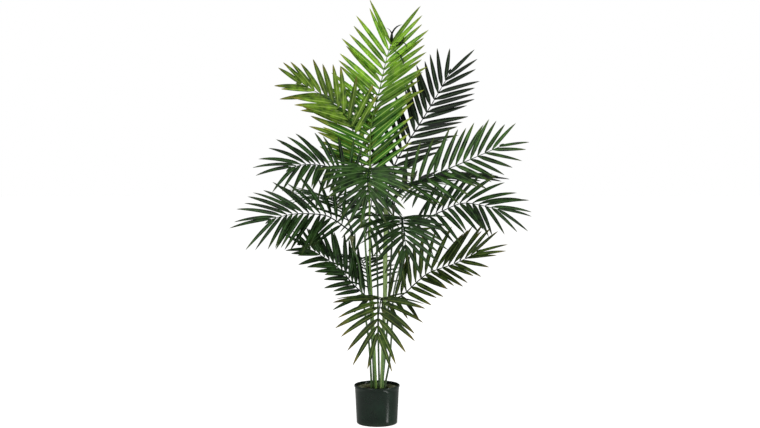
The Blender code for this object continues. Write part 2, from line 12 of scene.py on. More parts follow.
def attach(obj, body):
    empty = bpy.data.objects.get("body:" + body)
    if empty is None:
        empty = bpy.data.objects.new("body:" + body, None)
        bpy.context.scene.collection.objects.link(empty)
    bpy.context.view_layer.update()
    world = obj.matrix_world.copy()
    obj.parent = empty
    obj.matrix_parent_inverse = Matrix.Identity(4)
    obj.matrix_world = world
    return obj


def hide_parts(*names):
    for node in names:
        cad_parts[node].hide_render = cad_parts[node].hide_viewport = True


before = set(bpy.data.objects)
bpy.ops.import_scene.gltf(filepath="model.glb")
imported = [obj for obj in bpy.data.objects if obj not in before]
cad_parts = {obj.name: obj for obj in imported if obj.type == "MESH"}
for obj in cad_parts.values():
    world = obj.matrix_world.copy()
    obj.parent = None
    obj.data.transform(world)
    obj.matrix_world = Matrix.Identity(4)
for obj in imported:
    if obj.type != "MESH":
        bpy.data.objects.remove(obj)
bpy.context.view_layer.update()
print("frame loaded")


def linear(code):
    # an sRGB hex colour, as the nodes take it
    parts = [int(code[i:i + 2], 16) / 255 for i in (1, 3, 5)]
    return [c / 12.92 if c <= 0.04045 else ((c + 0.055) / 1.055) ** 2.4 for c in parts] + [1.0]


def newMaterial(name):
    material = bpy.data.materials.new(name)
    material.use_nodes = True
    return material, material.node_tree, material.node_tree.nodes["Principled BSDF"]


def addNode(tree, kind, settings={}, links={}):
    node = tree.nodes.new(kind)
    for key, value in settings.items():
        if key == "stops":
            while len(node.color_ramp.elements) < len(value):
                node.color_ramp.elements.new(0.5)
            for element, (place, code) in zip(node.color_ramp.elements, value):
                element.position = place
                element.color = linear(code)
        elif isinstance(key, str) and hasattr(node, key):
            setattr(node, key, value)
        else:
            node.inputs[key].default_value = value
    for key, socket in links.items():
        tree.links.new(socket, node.inputs[key])
    return node


def smoothRange(tree, socket, start, end, first, last):
    # first up to start, last from end on, and an even change between them
    settings = {"interpolation_type": "SMOOTHSTEP", 1: start, 2: end, 3: first, 4: last}
    return addNode(tree, "ShaderNodeMapRange", settings, {0: socket}).outputs[0]


def blendTo(tree, share, colour, code):
    settings = {"data_type": "RGBA", 7: linear(code)}
    return addNode(tree, "ShaderNodeMix", settings, {0: share, 6: colour}).outputs[2]


def calculate(tree, operation, first, second=None, links={}):
    settings = {"operation": operation}
    if second is not None:
        settings[1] = second
    return addNode(tree, "ShaderNodeMath", settings, {0: first, **links}).outputs[0]


def addBump(tree, surface, height, strength, distance):
    settings = {"Strength": strength, "Distance": distance}
    bump = addNode(tree, "ShaderNodeBump", settings, {"Height": height})
    tree.links.new(bump.outputs[0], surface.inputs["Normal"])


def meshFrom(name, bm):
    mesh = bpy.data.meshes.new(name)
    bm.to_mesh(mesh)
    bm.free()
    return mesh


def addObject(name, data):
    thing = bpy.data.objects.new(name, data)
    bpy.context.scene.collection.objects.link(thing)
    return thing


def addPiece(name, bm, materials, node=None):
    mesh = meshFrom(name, bm)
    for material in materials:
        mesh.materials.append(material)
    piece = addObject(name, mesh)
    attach(piece, "root")
    if node:
        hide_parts(node)
    return piece


def turnedAround(outline, steps):
    # the outline, as (radius, height), spun once about the upright axis
    bm = bmesh.new()
    points = [bm.verts.new((radius, 0, height)) for radius, height in outline]
    edges = [bm.edges.new(pair) for pair in zip(points, points[1:])]
    bmesh.ops.spin(
        bm, geom=points + edges, axis=(0, 0, 1), cent=(0, 0, 0), angle=math.tau,
        steps=steps, use_merge=True,
    )
    bmesh.ops.remove_doubles(bm, verts=bm.verts, dist=0.00002)
    bmesh.ops.recalc_face_normals(bm, faces=bm.faces)
    for face in bm.faces:
        face.smooth = True
    return bm


def arc(centre, radius, start, end, steps):
    turns = [math.radians(start + (end - start) * i / steps) for i in range(steps + 1)]
    return [(centre[0] + radius * math.cos(a), centre[1] + radius * math.sin(a)) for a in turns]


potShape = {
    "height": 0.140,
    "rimRadius": 0.0805,  # outside, below the lip
    "baseRadius": 0.0735,
    "wall": 0.0020,
    "floor": 0.0030,
    "floorRound": 0.0030,
    "footRound": 0.0040,
    "footRing": (0.0655, 0.0660),  # the base is a little raised inside it
    "raised": 0.0008,
    "lipHeight": 0.0060,
    "lipProud": 0.0020,
    "lipEdge": 0.0006,
    "wallRows": (0.120, 0.095, 0.070, 0.045, 0.020),
    "drainHoles": 6,
    "drainRadius": 0.0050,
    "drainCircle": 0.0500,
    "steps": 120,
}
soilTop = potShape["height"] - 0.0150


def outerRadius(height):
    share = height / potShape["height"]
    return potShape["baseRadius"] + (potShape["rimRadius"] - potShape["baseRadius"]) * share


def potMaterial():
    # Injection-moulded polypropylene: dark green, satin, a fine eggshell grain, dust near the foot.
    material, tree, surface = newMaterial("mouldedPolypropyleneDarkGreen")
    place = addNode(tree, "ShaderNodeTexCoord").outputs["Object"]
    cloud = addNode(tree, "ShaderNodeTexNoise", {"Scale": 22.0, "Detail": 3.0}, {"Vector": place})
    colour = addNode(
        tree, "ShaderNodeValToRGB",
        {"stops": [(0.30, "#0b1911"), (0.55, "#0f2117"), (0.80, "#14291d")]},
        {"Fac": cloud.outputs["Fac"]},
    )
    height = addNode(tree, "ShaderNodeSeparateXYZ", {}, {0: place}).outputs["Z"]
    dust = smoothRange(tree, height, 0.0, 0.020, 0.22, 0.0)
    dusty = blendTo(tree, dust, colour.outputs["Color"], "#4c5345")
    tree.links.new(dusty, surface.inputs["Base Color"])
    # handling scuffs, a few millimetres long, make the satin uneven
    scuffs = addNode(
        tree, "ShaderNodeTexNoise", {"Scale": 160.0, "Detail": 4.0, "Roughness": 0.65},
        {"Vector": place},
    )
    rough = addNode(
        tree, "ShaderNodeMapRange", {1: 0.3, 2: 0.7, 3: 0.17, 4: 0.24}, {0: scuffs.outputs["Fac"]},
    )
    tree.links.new(rough.outputs[0], surface.inputs["Roughness"])
    # eggshell grain, 0.7 mm
    grain = addNode(tree, "ShaderNodeTexNoise", {"Scale": 1400.0, "Detail": 1.0}, {"Vector": place})
    addBump(tree, surface, grain.outputs["Fac"], 0.20, 0.0002)
    surface.inputs["IOR"].default_value = 1.49
    surface.inputs["Specular IOR Level"].default_value = 0.30
    return material


def buildPot():
    shape = potShape
    lipRadius = shape["rimRadius"] + shape["lipProud"]
    lipRound = (shape["lipProud"] + shape["wall"]) / 2
    lipCentre = (lipRadius - lipRound, shape["height"] - lipRound)
    lipLow = shape["height"] - shape["lipHeight"]
    footCentre = (shape["baseRadius"] - shape["footRound"], shape["footRound"])
    inner = outerRadius(shape["floor"]) - shape["wall"]
    floorRound = shape["floorRound"]
    outline = [(0, shape["floor"]), (inner - floorRound - 0.001, shape["floor"])]
    outline += arc((inner - floorRound, shape["floor"] + floorRound), floorRound, -90, 0, 4)
    outline += arc(lipCentre, lipRound, 180, 0, 12)
    lipEdge = shape["lipEdge"]
    outline += [(lipRadius, lipLow + lipEdge)]
    outline += arc((lipRadius - lipEdge, lipLow), lipEdge, 0, -90, 3)
    outline += [(outerRadius(lipLow) + 0.0002, lipLow - shape["lipProud"] / 2)]
    outline += [(outerRadius(height), height) for height in shape["wallRows"]]
    outline += arc(footCentre, shape["footRound"], 0, -90, 8)
    ringInside, ringOutside = shape["footRing"]
    outline += [(ringOutside, 0.0)]
    outline += [(radius, shape["raised"]) for radius in (ringInside, 0.0400, 0.0)]
    bm = turnedAround(outline, shape["steps"])
    pot = addPiece("nurseryPot", bm, [potMaterial()], "pot")
    drill = bmesh.new()
    for i in range(shape["drainHoles"]):
        turn = math.tau * (i + 0.5) / shape["drainHoles"]
        middle = Vector((math.cos(turn), math.sin(turn), 0)) * shape["drainCircle"]
        bmesh.ops.create_cone(
            drill, cap_ends=True, segments=24, radius1=shape["drainRadius"],
            radius2=shape["drainRadius"], depth=4 * shape["floor"],
            matrix=Matrix.Translation(middle),
        )
    cutter = addObject("drill", meshFrom("drill", drill))
    cut = pot.modifiers.new("drainHoles", "BOOLEAN")
    cut.operation = "DIFFERENCE"
    cut.solver = "EXACT"
    cut.object = cutter
    bpy.context.view_layer.update()
    graph = bpy.context.evaluated_depsgraph_get()
    drilled = bpy.data.meshes.new_from_object(pot.evaluated_get(graph))
    pot.modifiers.clear()
    pot.data = drilled
    bpy.data.objects.remove(cutter)


buildPot()
print("pot made")


fill = {
    "mossInner": 0.0440,
    "mossHeight": 0.0060,
    "soilGap": 0.0006,  # to the pot's wall
    "mossGap": 0.0012,
    "soilFoot": 0.0036,
    "chips": 260,
    "threads": 620,
    "seed": 11,
}


def soilMaterial():
    # Peat: near-black brown crumbs with paler fibres, dull all over.
    material, tree, surface = newMaterial("peatCrumb")
    place = addNode(tree, "ShaderNodeTexCoord").outputs["Object"]
    crumbs = addNode(
        tree, "ShaderNodeTexNoise", {"Scale": 420.0, "Detail": 5.0, "Roughness": 0.7},
        {"Vector": place},
    )
    colour = addNode(
        tree, "ShaderNodeValToRGB",
        {"stops": [(0.34, "#120d08"), (0.52, "#2a2015"), (0.70, "#4b3c28")]},
        {"Fac": crumbs.outputs["Fac"]},
    )
    tree.links.new(colour.outputs["Color"], surface.inputs["Base Color"])
    addBump(tree, surface, crumbs.outputs["Fac"], 0.8, 0.0012)
    surface.inputs["Roughness"].default_value = 0.95
    return material


def mossMaterial():
    # Dried sheet moss: olive tufts over brown, matt, as coarse as felt.
    material, tree, surface = newMaterial("driedSheetMoss")
    place = addNode(tree, "ShaderNodeTexCoord").outputs["Object"]
    tufts = addNode(
        tree, "ShaderNodeTexNoise", {"Scale": 190.0, "Detail": 5.0, "Roughness": 0.6},
        {"Vector": place},
    )
    colour = addNode(
        tree, "ShaderNodeValToRGB",
        {"stops": [(0.30, "#2a2a12"), (0.50, "#545a22"), (0.68, "#7d7f38")]},
        {"Fac": tufts.outputs["Fac"]},
    )
    tree.links.new(colour.outputs["Color"], surface.inputs["Base Color"])
    addBump(tree, surface, tufts.outputs["Fac"], 0.9, 0.0015)
    surface.inputs["Roughness"].default_value = 0.9
    surface.inputs["Sheen Weight"].default_value = 0.25
    return material


def threadTemplate():
    # a thin ring drawn round most of a half turn, one unit from the turn's middle
    bm = bmesh.new()
    upright = Matrix.Translation((1, 0, 0)) @ Matrix.Rotation(math.pi / 2, 4, "X")
    made = bmesh.ops.create_circle(bm, cap_ends=True, segments=3, radius=0.09, matrix=upright)
    cap = made["verts"][0].link_faces[0]
    bmesh.ops.spin(bm, geom=[cap], axis=(0, 0, 1), cent=(0, 0, 0), angle=2.4, steps=5)
    bmesh.ops.recalc_face_normals(bm, faces=bm.faces)
    return meshFrom("thread", bm)


def insideRadius(height, space):
    return outerRadius(height) - potShape["wall"] - space


def buildPeat(chance):
    edge = insideRadius(soilTop, fill["soilGap"])
    low = fill["soilFoot"]
    outline = [(edge * i / 30, soilTop) for i in range(31)]
    outline += [(insideRadius(low, fill["soilGap"]), low), (0, low)]
    bm = turnedAround(outline, potShape["steps"])
    for vert in bm.verts:
        if vert.co.z > soilTop - 0.001:
            lump = noise.fractal(vert.co * 90, 0.9, 2.0, 4)
            vert.co.z += 0.0016 * lump - 0.0006
    for i in range(fill["chips"]):  # crumbs of bark on top
        reach = edge * 0.93 * math.sqrt(chance.random())
        turn = math.tau * chance.random()
        size = chance.uniform(0.0012, 0.0032)
        matrix = (
            Matrix.Translation((reach * math.cos(turn), reach * math.sin(turn), soilTop + 0.0005))
            @ Matrix.Rotation(math.tau * chance.random(), 4, "Z")
            @ Matrix.Rotation(chance.uniform(-0.6, 0.6), 4, "X")
            @ Matrix.Diagonal((1.0, chance.uniform(0.4, 0.8), chance.uniform(0.25, 0.6), 1))
        )
        bmesh.ops.create_icosphere(bm, subdivisions=1, radius=size, matrix=matrix)
    addPiece("peat", bm, [soilMaterial()], "soil")


def buildMoss(chance):
    inner = fill["mossInner"]
    outer = insideRadius(soilTop, fill["mossGap"])
    middle = (inner + outer) / 2
    half = (outer - inner) / 2
    arch = []
    for i in range(19):
        turn = math.pi * i / 18
        rise = fill["mossHeight"] * (0.25 + 0.75 * math.sin(turn))
        arch.append((middle - half * math.cos(turn), soilTop + rise))
    low = soilTop - 0.0004
    outline = [(inner, low)] + arch + [(outer, low), (inner, low)]
    bm = turnedAround(outline, 160)
    for vert in bm.verts:
        if vert.co.z > soilTop:
            lump = noise.fractal(vert.co * 130, 0.8, 2.0, 4)
            vert.co += Vector((vert.co.x, vert.co.y, 0)).normalized() * 0.0009 * lump
            vert.co.z += 0.0017 * lump
            reach = Vector((vert.co.x, vert.co.y)).length
            if reach > outer + 0.0005:
                vert.co.x *= (outer + 0.0005) / reach
                vert.co.y *= (outer + 0.0005) / reach
    thread = threadTemplate()
    for i in range(fill["threads"]):  # loose curled threads, 8 to 16 mm
        reach = inner + (outer - inner) * chance.uniform(0.04, 0.90)
        turn = math.tau * chance.random()
        curl = thread.copy()
        curl.transform(
            Matrix.Translation((reach * math.cos(turn), reach * math.sin(turn), soilTop + 0.0054))
            @ Matrix.Rotation(math.tau * chance.random(), 4, "Z")
            @ Matrix.Rotation(chance.uniform(-1.2, 1.2), 4, "X")
            @ Matrix.Scale(chance.uniform(0.0022, 0.0042), 4)
        )
        bm.from_mesh(curl)
        bpy.data.meshes.remove(curl)
    bpy.data.meshes.remove(thread)
    for face in bm.faces:
        face.smooth = True
    addPiece("sheetMoss", bm, [mossMaterial()], "moss")


chance = random.Random(fill["seed"])
buildPeat(chance)
buildMoss(chance)
print("peat and moss made")


# places are in metres, from the middle of the soil's surface
stems = {
    "stem_1": {
        "way": [
            (-0.020, -0.004), (-0.030, -0.005, 0.175), (-0.056, -0.008, 0.362),
            (-0.066, -0.010, 0.453),
        ],
        "top": (-0.090, -0.012, 0.555),
        "radius": 0.0034,
    },
    "stem_2": {
        "way": [
            (-0.010, 0.008), (-0.018, 0.007, 0.175), (-0.026, 0.006, 0.344), (-0.037, 0.004, 0.445),
        ],
        "top": (-0.050, 0.002, 0.695),
        "radius": 0.0034,
    },
    "stem_3": {
        "way": [
            (-0.003, -0.013), (-0.010, -0.015, 0.175), (-0.020, -0.018, 0.369),
            (-0.025, -0.021, 0.463),
        ],
        "top": (-0.027, -0.022, 0.745),
        "radius": 0.0036,
    },
    "stem_4": {
        "way": [
            (0.008, 0.014), (0.005, 0.020, 0.175), (0.003, 0.026, 0.351), (0.000, 0.030, 0.467),
        ],
        "top": (-0.004, 0.036, 0.725),
        "radius": 0.0032,
    },
    "stem_5": {
        "way": [
            (0.015, -0.004), (0.022, -0.001, 0.175), (0.029, 0.000, 0.344), (0.030, 0.000, 0.474),
        ],
        "top": (0.033, 0.000, 0.655),
        "radius": 0.0080,
    },
    "stem_6": {
        "way": [(0.022, -0.020), (0.024, -0.026, 0.175)],
        "top": (0.024, -0.032, 0.300),
        "radius": 0.0036,
    },
    "stem_7": {
        "way": [
            (0.031, 0.005), (0.045, 0.004, 0.096), (0.054, 0.000, 0.215), (0.060, -0.003, 0.344),
            (0.085, -0.006, 0.453),
        ],
        "top": (0.094, -0.008, 0.565),
        "radius": 0.0030,
    },
    "stem_8": {
        "way": [(-0.012, 0.026), (-0.016, 0.032, 0.175)],
        "top": (-0.018, 0.036, 0.300),
        "radius": 0.0036,
    },
    "stem_9": {
        "way": [(0.021, 0.024), (0.034, 0.030, 0.175), (0.046, 0.034, 0.375)],
        "top": (0.060, 0.036, 0.665),
        "radius": 0.0034,
    },
}

# stem: what it stands on. way: where the rib passes. bare: stalk before the first leaflets.
# face: the way the upper side looks. pairs, leaf: pairs of leaflets, and the longest one.
# open: leaflets' angles to the rib at its two ends. lift: above the frond's plane.
# droop, bend: shares of its length that a leaflet's tip sinks, and curls to the frond's tip.
# swell: how long the first and last leaflets are, as places on half a sine. lean: to one side.
# closed: the last leaflets' angle. full: how wide the blades are. roll: their turn to the light.
fronds = {
    "frond_1": {
        "stem": "stem_3",
        "way": [
            (-0.025, 0.000, 0.805), (-0.021, 0.020, 0.950), (0.011, 0.035, 1.088),
            (0.033, 0.040, 1.187), (0.052, 0.030, 1.250),
        ],
        "bare": 0.040, "face": (-0.10, -1.00, 0.25), "pairs": 20, "leaf": 0.198,
        "open": (60, 46), "lift": 6, "droop": 0.05,
        "tone": "lime", "bend": 0.03,
        "swell": (0.34, 0.68), "lean": -8, "closed": 34, "full": 1.20,
    },
    "frond_2": {
        "stem": "stem_2",
        "way": [
            (-0.058, 0.010, 0.835), (-0.097, 0.015, 0.960), (-0.136, 0.010, 1.010),
            (-0.186, 0.000, 1.053), (-0.275, -0.020, 1.101),
        ],
        "bare": 0.110, "face": (0.10, -1.00, 0.45), "pairs": 15, "leaf": 0.172,
        "open": (58, 28), "lift": 8, "droop": 0.06, "tone": "moss", "bend": 0.05,
        "swell": (0.36, 0.82), "full": 1.24,
    },
    "frond_3": {
        "stem": "stem_5",
        "way": [
            (0.061, 0.010, 0.802), (0.110, 0.030, 0.889), (0.148, 0.050, 0.947),
            (0.202, 0.070, 1.035), (0.268, 0.090, 1.147),
        ],
        "bare": 0.120, "face": (-0.10, -1.00, 0.35), "pairs": 16, "leaf": 0.176,
        # its near-black tone is painted shade: this frond faces away
        "open": (50, 44), "lift": 6, "droop": 0.04, "tone": "inkAndPaintedShade", "bend": 0.04,
        "swell": (0.36, 0.78), "full": 1.10,
    },
    "frond_4": {
        "stem": "stem_5",
        "way": [
            (0.101, -0.030, 0.730), (0.193, -0.060, 0.770), (0.259, -0.080, 0.799),
            (0.349, -0.110, 0.838), (0.432, -0.130, 0.875),
        ],
        "bare": 0.100, "face": (-0.15, -1.00, 0.55), "pairs": 14, "leaf": 0.172,
        "open": (56, 42), "lift": 14, "droop": 0.08, "tone": "green", "bend": 0.05,
        "swell": (0.36, 0.81),
    },
    "frond_5": {
        "stem": "stem_7",
        "way": [
            (0.150, -0.030, 0.605), (0.219, -0.060, 0.640), (0.299, -0.100, 0.675),
            (0.368, -0.135, 0.668), (0.422, -0.162, 0.654),
        ],
        "bare": 0.070, "face": (0.05, -0.70, 0.80), "pairs": 14, "leaf": 0.184,
        "open": (66, 44), "lift": 4, "droop": 0.16, "tone": "deep", "bend": 0.05,
        "swell": (0.34, 0.80),
    },
    "frond_6": {
        "stem": "stem_6",
        "way": [
            (0.090, -0.050, 0.345), (0.143, -0.070, 0.395), (0.188, -0.090, 0.431),
            (0.277, -0.130, 0.467), (0.350, -0.160, 0.507),
        ],
        "bare": 0.030, "face": (-0.10, -0.70, 0.80), "pairs": 17, "leaf": 0.180,
        "open": (72, 36), "lift": 15, "droop": 0.08, "tone": "olive", "bend": 0.05,
        "swell": (0.34, 0.78),
    },
    "frond_7": {
        "stem": "stem_2",
        "way": [
            (-0.110, -0.040, 0.775), (-0.155, -0.070, 0.799), (-0.203, -0.100, 0.809),
            (-0.250, -0.130, 0.811), (-0.300, -0.160, 0.800),
        ],
        "bare": 0.080, "face": (0.05, -0.80, 0.75), "pairs": 14, "leaf": 0.170,
        "open": (68, 40), "lift": 14, "droop": 0.20, "tone": "deep", "bend": 0.04,
        "swell": (0.36, 0.74),
    },
    "frond_8": {
        "stem": "stem_1",
        "way": [
            (-0.161, -0.040, 0.620), (-0.203, -0.060, 0.634), (-0.278, -0.090, 0.638),
            (-0.332, -0.116, 0.630), (-0.374, -0.133, 0.618),
        ],
        "bare": 0.060, "face": (-0.05, -0.80, 0.70), "pairs": 14, "leaf": 0.190,
        "open": (66, 40), "lift": 6, "droop": 0.15, "tone": "deep", "bend": 0.04,
        "swell": (0.36, 0.77),
    },
    "frond_9": {
        "stem": "stem_8",
        "way": [
            (-0.086, 0.000, 0.379), (-0.121, -0.020, 0.424), (-0.167, -0.040, 0.465),
            (-0.222, -0.060, 0.501), (-0.275, -0.075, 0.530),
        ],
        "bare": 0.030, "face": (0.10, -0.70, 0.80), "pairs": 17, "leaf": 0.194,
        "open": (56, 36), "lift": 14, "droop": 0.08, "tone": "deep", "bend": 0.04,
        "swell": (0.60, 0.90), "full": 1.06,
    },
    "frond_10": {
        "stem": "stem_6",
        "way": [
            (0.018, -0.090, 0.340), (0.012, -0.150, 0.330), (0.006, -0.210, 0.290),
            (0.002, -0.255, 0.235),
        ],
        "bare": 0.050, "face": (0.00, -0.60, 1.00), "pairs": 9, "leaf": 0.165,
        "open": (84, 30), "lift": 4, "droop": 0.14,
        "tone": "olive", "bend": 0.03,
        "swell": (0.40, 0.74), "full": 1.20,
    },
    "frond_11": {
        "stem": "stem_7",
        "way": [
            (0.088, -0.100, 0.625), (0.090, -0.180, 0.610), (0.094, -0.245, 0.570),
            (0.098, -0.295, 0.520),
        ],
        "bare": 0.060, "face": (0.00, -0.60, 1.00), "pairs": 13, "leaf": 0.172,
        "open": (82, 30), "lift": 4, "droop": 0.14, "tone": "deep", "bend": 0.03,
        "swell": (0.36, 0.76),
    },
    "frond_12": {
        "stem": "stem_3",
        "way": [
            (-0.029, -0.090, 0.795), (-0.031, -0.170, 0.785), (-0.031, -0.235, 0.755),
            (-0.030, -0.285, 0.705),
        ],
        "bare": 0.060, "face": (0.00, -0.60, 1.00), "pairs": 13, "leaf": 0.172,
        "open": (88, 34), "lift": 4, "droop": 0.14, "tone": "green", "bend": 0.03,
        "swell": (0.36, 0.76), "full": 1.10,
    },
    "frond_13": {
        "stem": "stem_9",
        "way": [
            (0.100, 0.040, 0.725), (0.159, 0.060, 0.753), (0.265, 0.090, 0.767),
            (0.390, 0.120, 0.765),
        ],
        "bare": 0.080, "face": (0.00, -0.10, 1.00), "pairs": 12, "leaf": 0.165,
        # its near-black tone is painted shade: this frond lies in shadow
        "open": (60, 36), "lift": 2, "droop": 0.04, "tone": "inkAndPaintedShade", "bend": 0.02,
        "swell": (0.36, 0.80),
    },
    "frond_14": {
        "stem": "stem_4",
        "way": [
            (-0.030, 0.090, 0.835), (-0.055, 0.140, 0.931), (-0.094, 0.210, 1.025),
            (-0.130, 0.290, 1.085),
        ],
        "bare": 0.090, "face": (0.20, -0.60, 0.80), "pairs": 12, "leaf": 0.172,
        "open": (62, 38), "lift": 6, "droop": 0.10, "tone": "green", "bend": 0.04,
        "swell": (0.36, 0.80),
    },
    "frond_15": {
        "stem": "stem_9",
        "way": [
            (0.090, 0.120, 0.725), (0.120, 0.210, 0.740), (0.150, 0.290, 0.725),
            (0.175, 0.370, 0.690),
        ],
        "bare": 0.080, "face": (0.00, 0.30, 1.00), "pairs": 12, "leaf": 0.170,
        "open": (62, 38), "lift": 4, "droop": 0.12, "tone": "deep", "bend": 0.04,
        "swell": (0.36, 0.80), "roll": 0,
    },
    "frond_16": {
        "stem": "stem_4",
        "way": [
            (0.004, 0.120, 0.755), (-0.010, 0.210, 0.725), (-0.025, 0.290, 0.645),
            (-0.036, 0.340, 0.545),
        ],
        "bare": 0.080, "face": (0.00, 0.70, 0.90), "pairs": 12, "leaf": 0.170,
        "open": (62, 38), "lift": 2, "droop": 0.16, "tone": "deep", "bend": 0.04,
        "swell": (0.36, 0.80), "roll": 0,
    },
    "frond_17": {
        "stem": "stem_8",
        "way": [
            (-0.030, 0.120, 0.375), (-0.045, 0.200, 0.420), (-0.060, 0.280, 0.445),
            (-0.075, 0.370, 0.445),
        ],
        "bare": 0.080, "face": (0.00, 0.30, 1.00), "pairs": 12, "leaf": 0.165,
        "open": (62, 38), "lift": 4, "droop": 0.10, "tone": "deep", "bend": 0.04,
        "swell": (0.36, 0.80), "roll": 0,
    },
    "frond_18": {
        "stem": "stem_1",
        "way": [
            (-0.120, 0.080, 0.635), (-0.160, 0.160, 0.675), (-0.205, 0.240, 0.690),
            (-0.250, 0.320, 0.675),
        ],
        "bare": 0.080, "face": (0.00, 0.30, 1.00), "pairs": 12, "leaf": 0.170,
        "open": (62, 38), "lift": 4, "droop": 0.10, "tone": "deep", "bend": 0.04,
        "swell": (0.36, 0.80), "roll": 0,
    },
}

stemShape = {
    "footRadius": 0.0038,
    "footLength": 0.020,
    "sheathLength": 0.030,
    "collar": 0.006,
    "sheathEdge": 0.0003,
    "sides": 12,
    "step": 0.006,
    "joint": 0.046,  # between the rings that old leaves left
    "ringHalf": 0.0012,
    "ringProud": 1.10,
}
stalkShape = {
    "width": 0.0062,
    "tipWidth": 0.0024,
    "depth": 0.80,  # of its width
    "footSpace": 0.0006,
    "footRise": 0.014,
    "footSwelling": 0.12,  # of its width
    "stub": 0.006,  # past the last leaflets
    "sides": 8,
}
leafletShape = {
    "width": 0.0200,
    "closed": 14,  # degrees between the rib and its last leaflets
    "closesFrom": 0.78,  # of the way along the rows
    "roll": 0.5,  # share of a turn towards the light
    "mostRoll": 60,
    "light": (0, -1, 0.25),
    "twist": 14,
    "full": 0.96,  # how wide the blades are, as a share of the leaflet's width
    "rootShare": 0.42,  # of the widest
    "opens": 0.18,  # share of its length, up to its widest
    "rootWidth": 0.0050,
    "thickness": 0.0012,
    "tipThickness": 0.0004,
    "widest": 0.42,
    "clearance": 0.0006,
    "rows": (0.0, 0.05, 0.12, 0.22, 0.34, 0.48, 0.62, 0.75, 0.87, 0.95, 1.0),
    "fold": 20,  # degrees that each half rises from the midrib
    "rootFold": 26,  # more at the root
    "turns": [
        (0, 0), (0, 7), (0, -7), (6, 0), (-6, 0), (0, 14), (0, -14), (8, 10), (-8, -10), (8, -10),
        (-8, 10), (0, 22), (0, -22), (12, 18), (-12, -18), (0, 32), (0, -32),
    ],
    "shortened": [1.0, 0.85, 0.7, 0.55, 0.4, 0.28, 0.18],
}


def grownPlace(point):
    return Vector(point) + Vector((0, 0, soilTop))


def smoothWay(points, steps=8):
    # a Catmull-Rom curve through the points
    ends = [points[0] * 2 - points[1]] + points + [points[-1] * 2 - points[-2]]
    way = []
    for a, b, c, d in zip(ends, ends[1:], ends[2:], ends[3:]):
        for i in range(steps):
            t = i / steps
            square = (2 * a - 5 * b + 4 * c - d) * t**2
            cube = (3 * b - a - 3 * c + d) * t**3
            way.append((2 * b + (c - a) * t + square + cube) / 2)
    way.append(points[-1].copy())
    return way


def placeAlong(way, distance):
    left = distance
    for first, second in zip(way, way[1:]):
        step = (second - first).length
        if left <= step or second is way[-1]:
            return first + (second - first) * (left / step), (second - first).normalized()
        left -= step


def lengthOf(way):
    return sum((second - first).length for first, second in zip(way, way[1:]))


footReach = math.hypot(stalkShape["width"], stalkShape["width"] * stalkShape["depth"]) / 2
sheathRadius = 2 * footReach + stalkShape["footSpace"] + stemShape["sheathEdge"]
gap = 0.0003


def stemWay(spec):
    foot = grownPlace((*spec["way"][0], 0)) + Vector((0, 0, gap))
    top = grownPlace(spec["top"])
    points = [foot, foot + Vector((0, 0, stemShape["footLength"]))]
    points += [grownPlace(point) for point in spec["way"][1:]]
    points += [top - Vector((0, 0, stemShape["sheathLength"]))]
    points += [top - Vector((0, 0, stemShape["collar"])), top]
    return points


def headingOf(spec):
    heading = Vector(spec["way"][1]) - Vector(stems[spec["stem"]]["top"])
    heading.z = 0
    return heading.normalized()


def frondWay(name, spec):
    others = [other for key, other in fronds.items() if key != name]
    beside = [other for other in others if other["stem"] == spec["stem"]]
    apart = sum((headingOf(spec) - headingOf(other) for other in beside), Vector())
    foot = grownPlace(stems[spec["stem"]]["top"]) + Vector((0, 0, gap))
    if beside:
        foot += apart.normalized() * (footReach + stalkShape["footSpace"])
    rise = foot + Vector((0, 0, stalkShape["footRise"]))
    return [foot] + smoothWay([rise] + [grownPlace(point) for point in spec["way"]])


def frameAt(way, distance, spec):
    # the place, and the directions along, across and out of the upper side
    place, along = placeAlong(way, distance)
    upTheStalk = min(1.0, distance / spec["bare"])
    face = (-headingOf(spec)).lerp(Vector(spec["face"]).normalized(), upTheStalk)
    out = (face - along * along.dot(face)).normalized()
    return place, along, along.cross(out), out


def ribWidth(share):
    return stalkShape["width"] + (stalkShape["tipWidth"] - stalkShape["width"]) * share


def pairDistance(spec, total, pair):
    share = pair / (spec["pairs"] - 1)
    return spec["bare"] + (total - spec["bare"] - leafletShape["rootWidth"]) * share**0.94


def ribRows(spec, total):
    steps = max(3, round(spec["bare"] / 0.020))
    rows = [spec["bare"] * 0.92 * i / steps for i in range(steps)]
    for pair in range(spec["pairs"]):
        middle = pairDistance(spec, total, pair)
        rows += [middle - leafletShape["rootWidth"] / 2, middle + leafletShape["rootWidth"] / 2]
    return rows


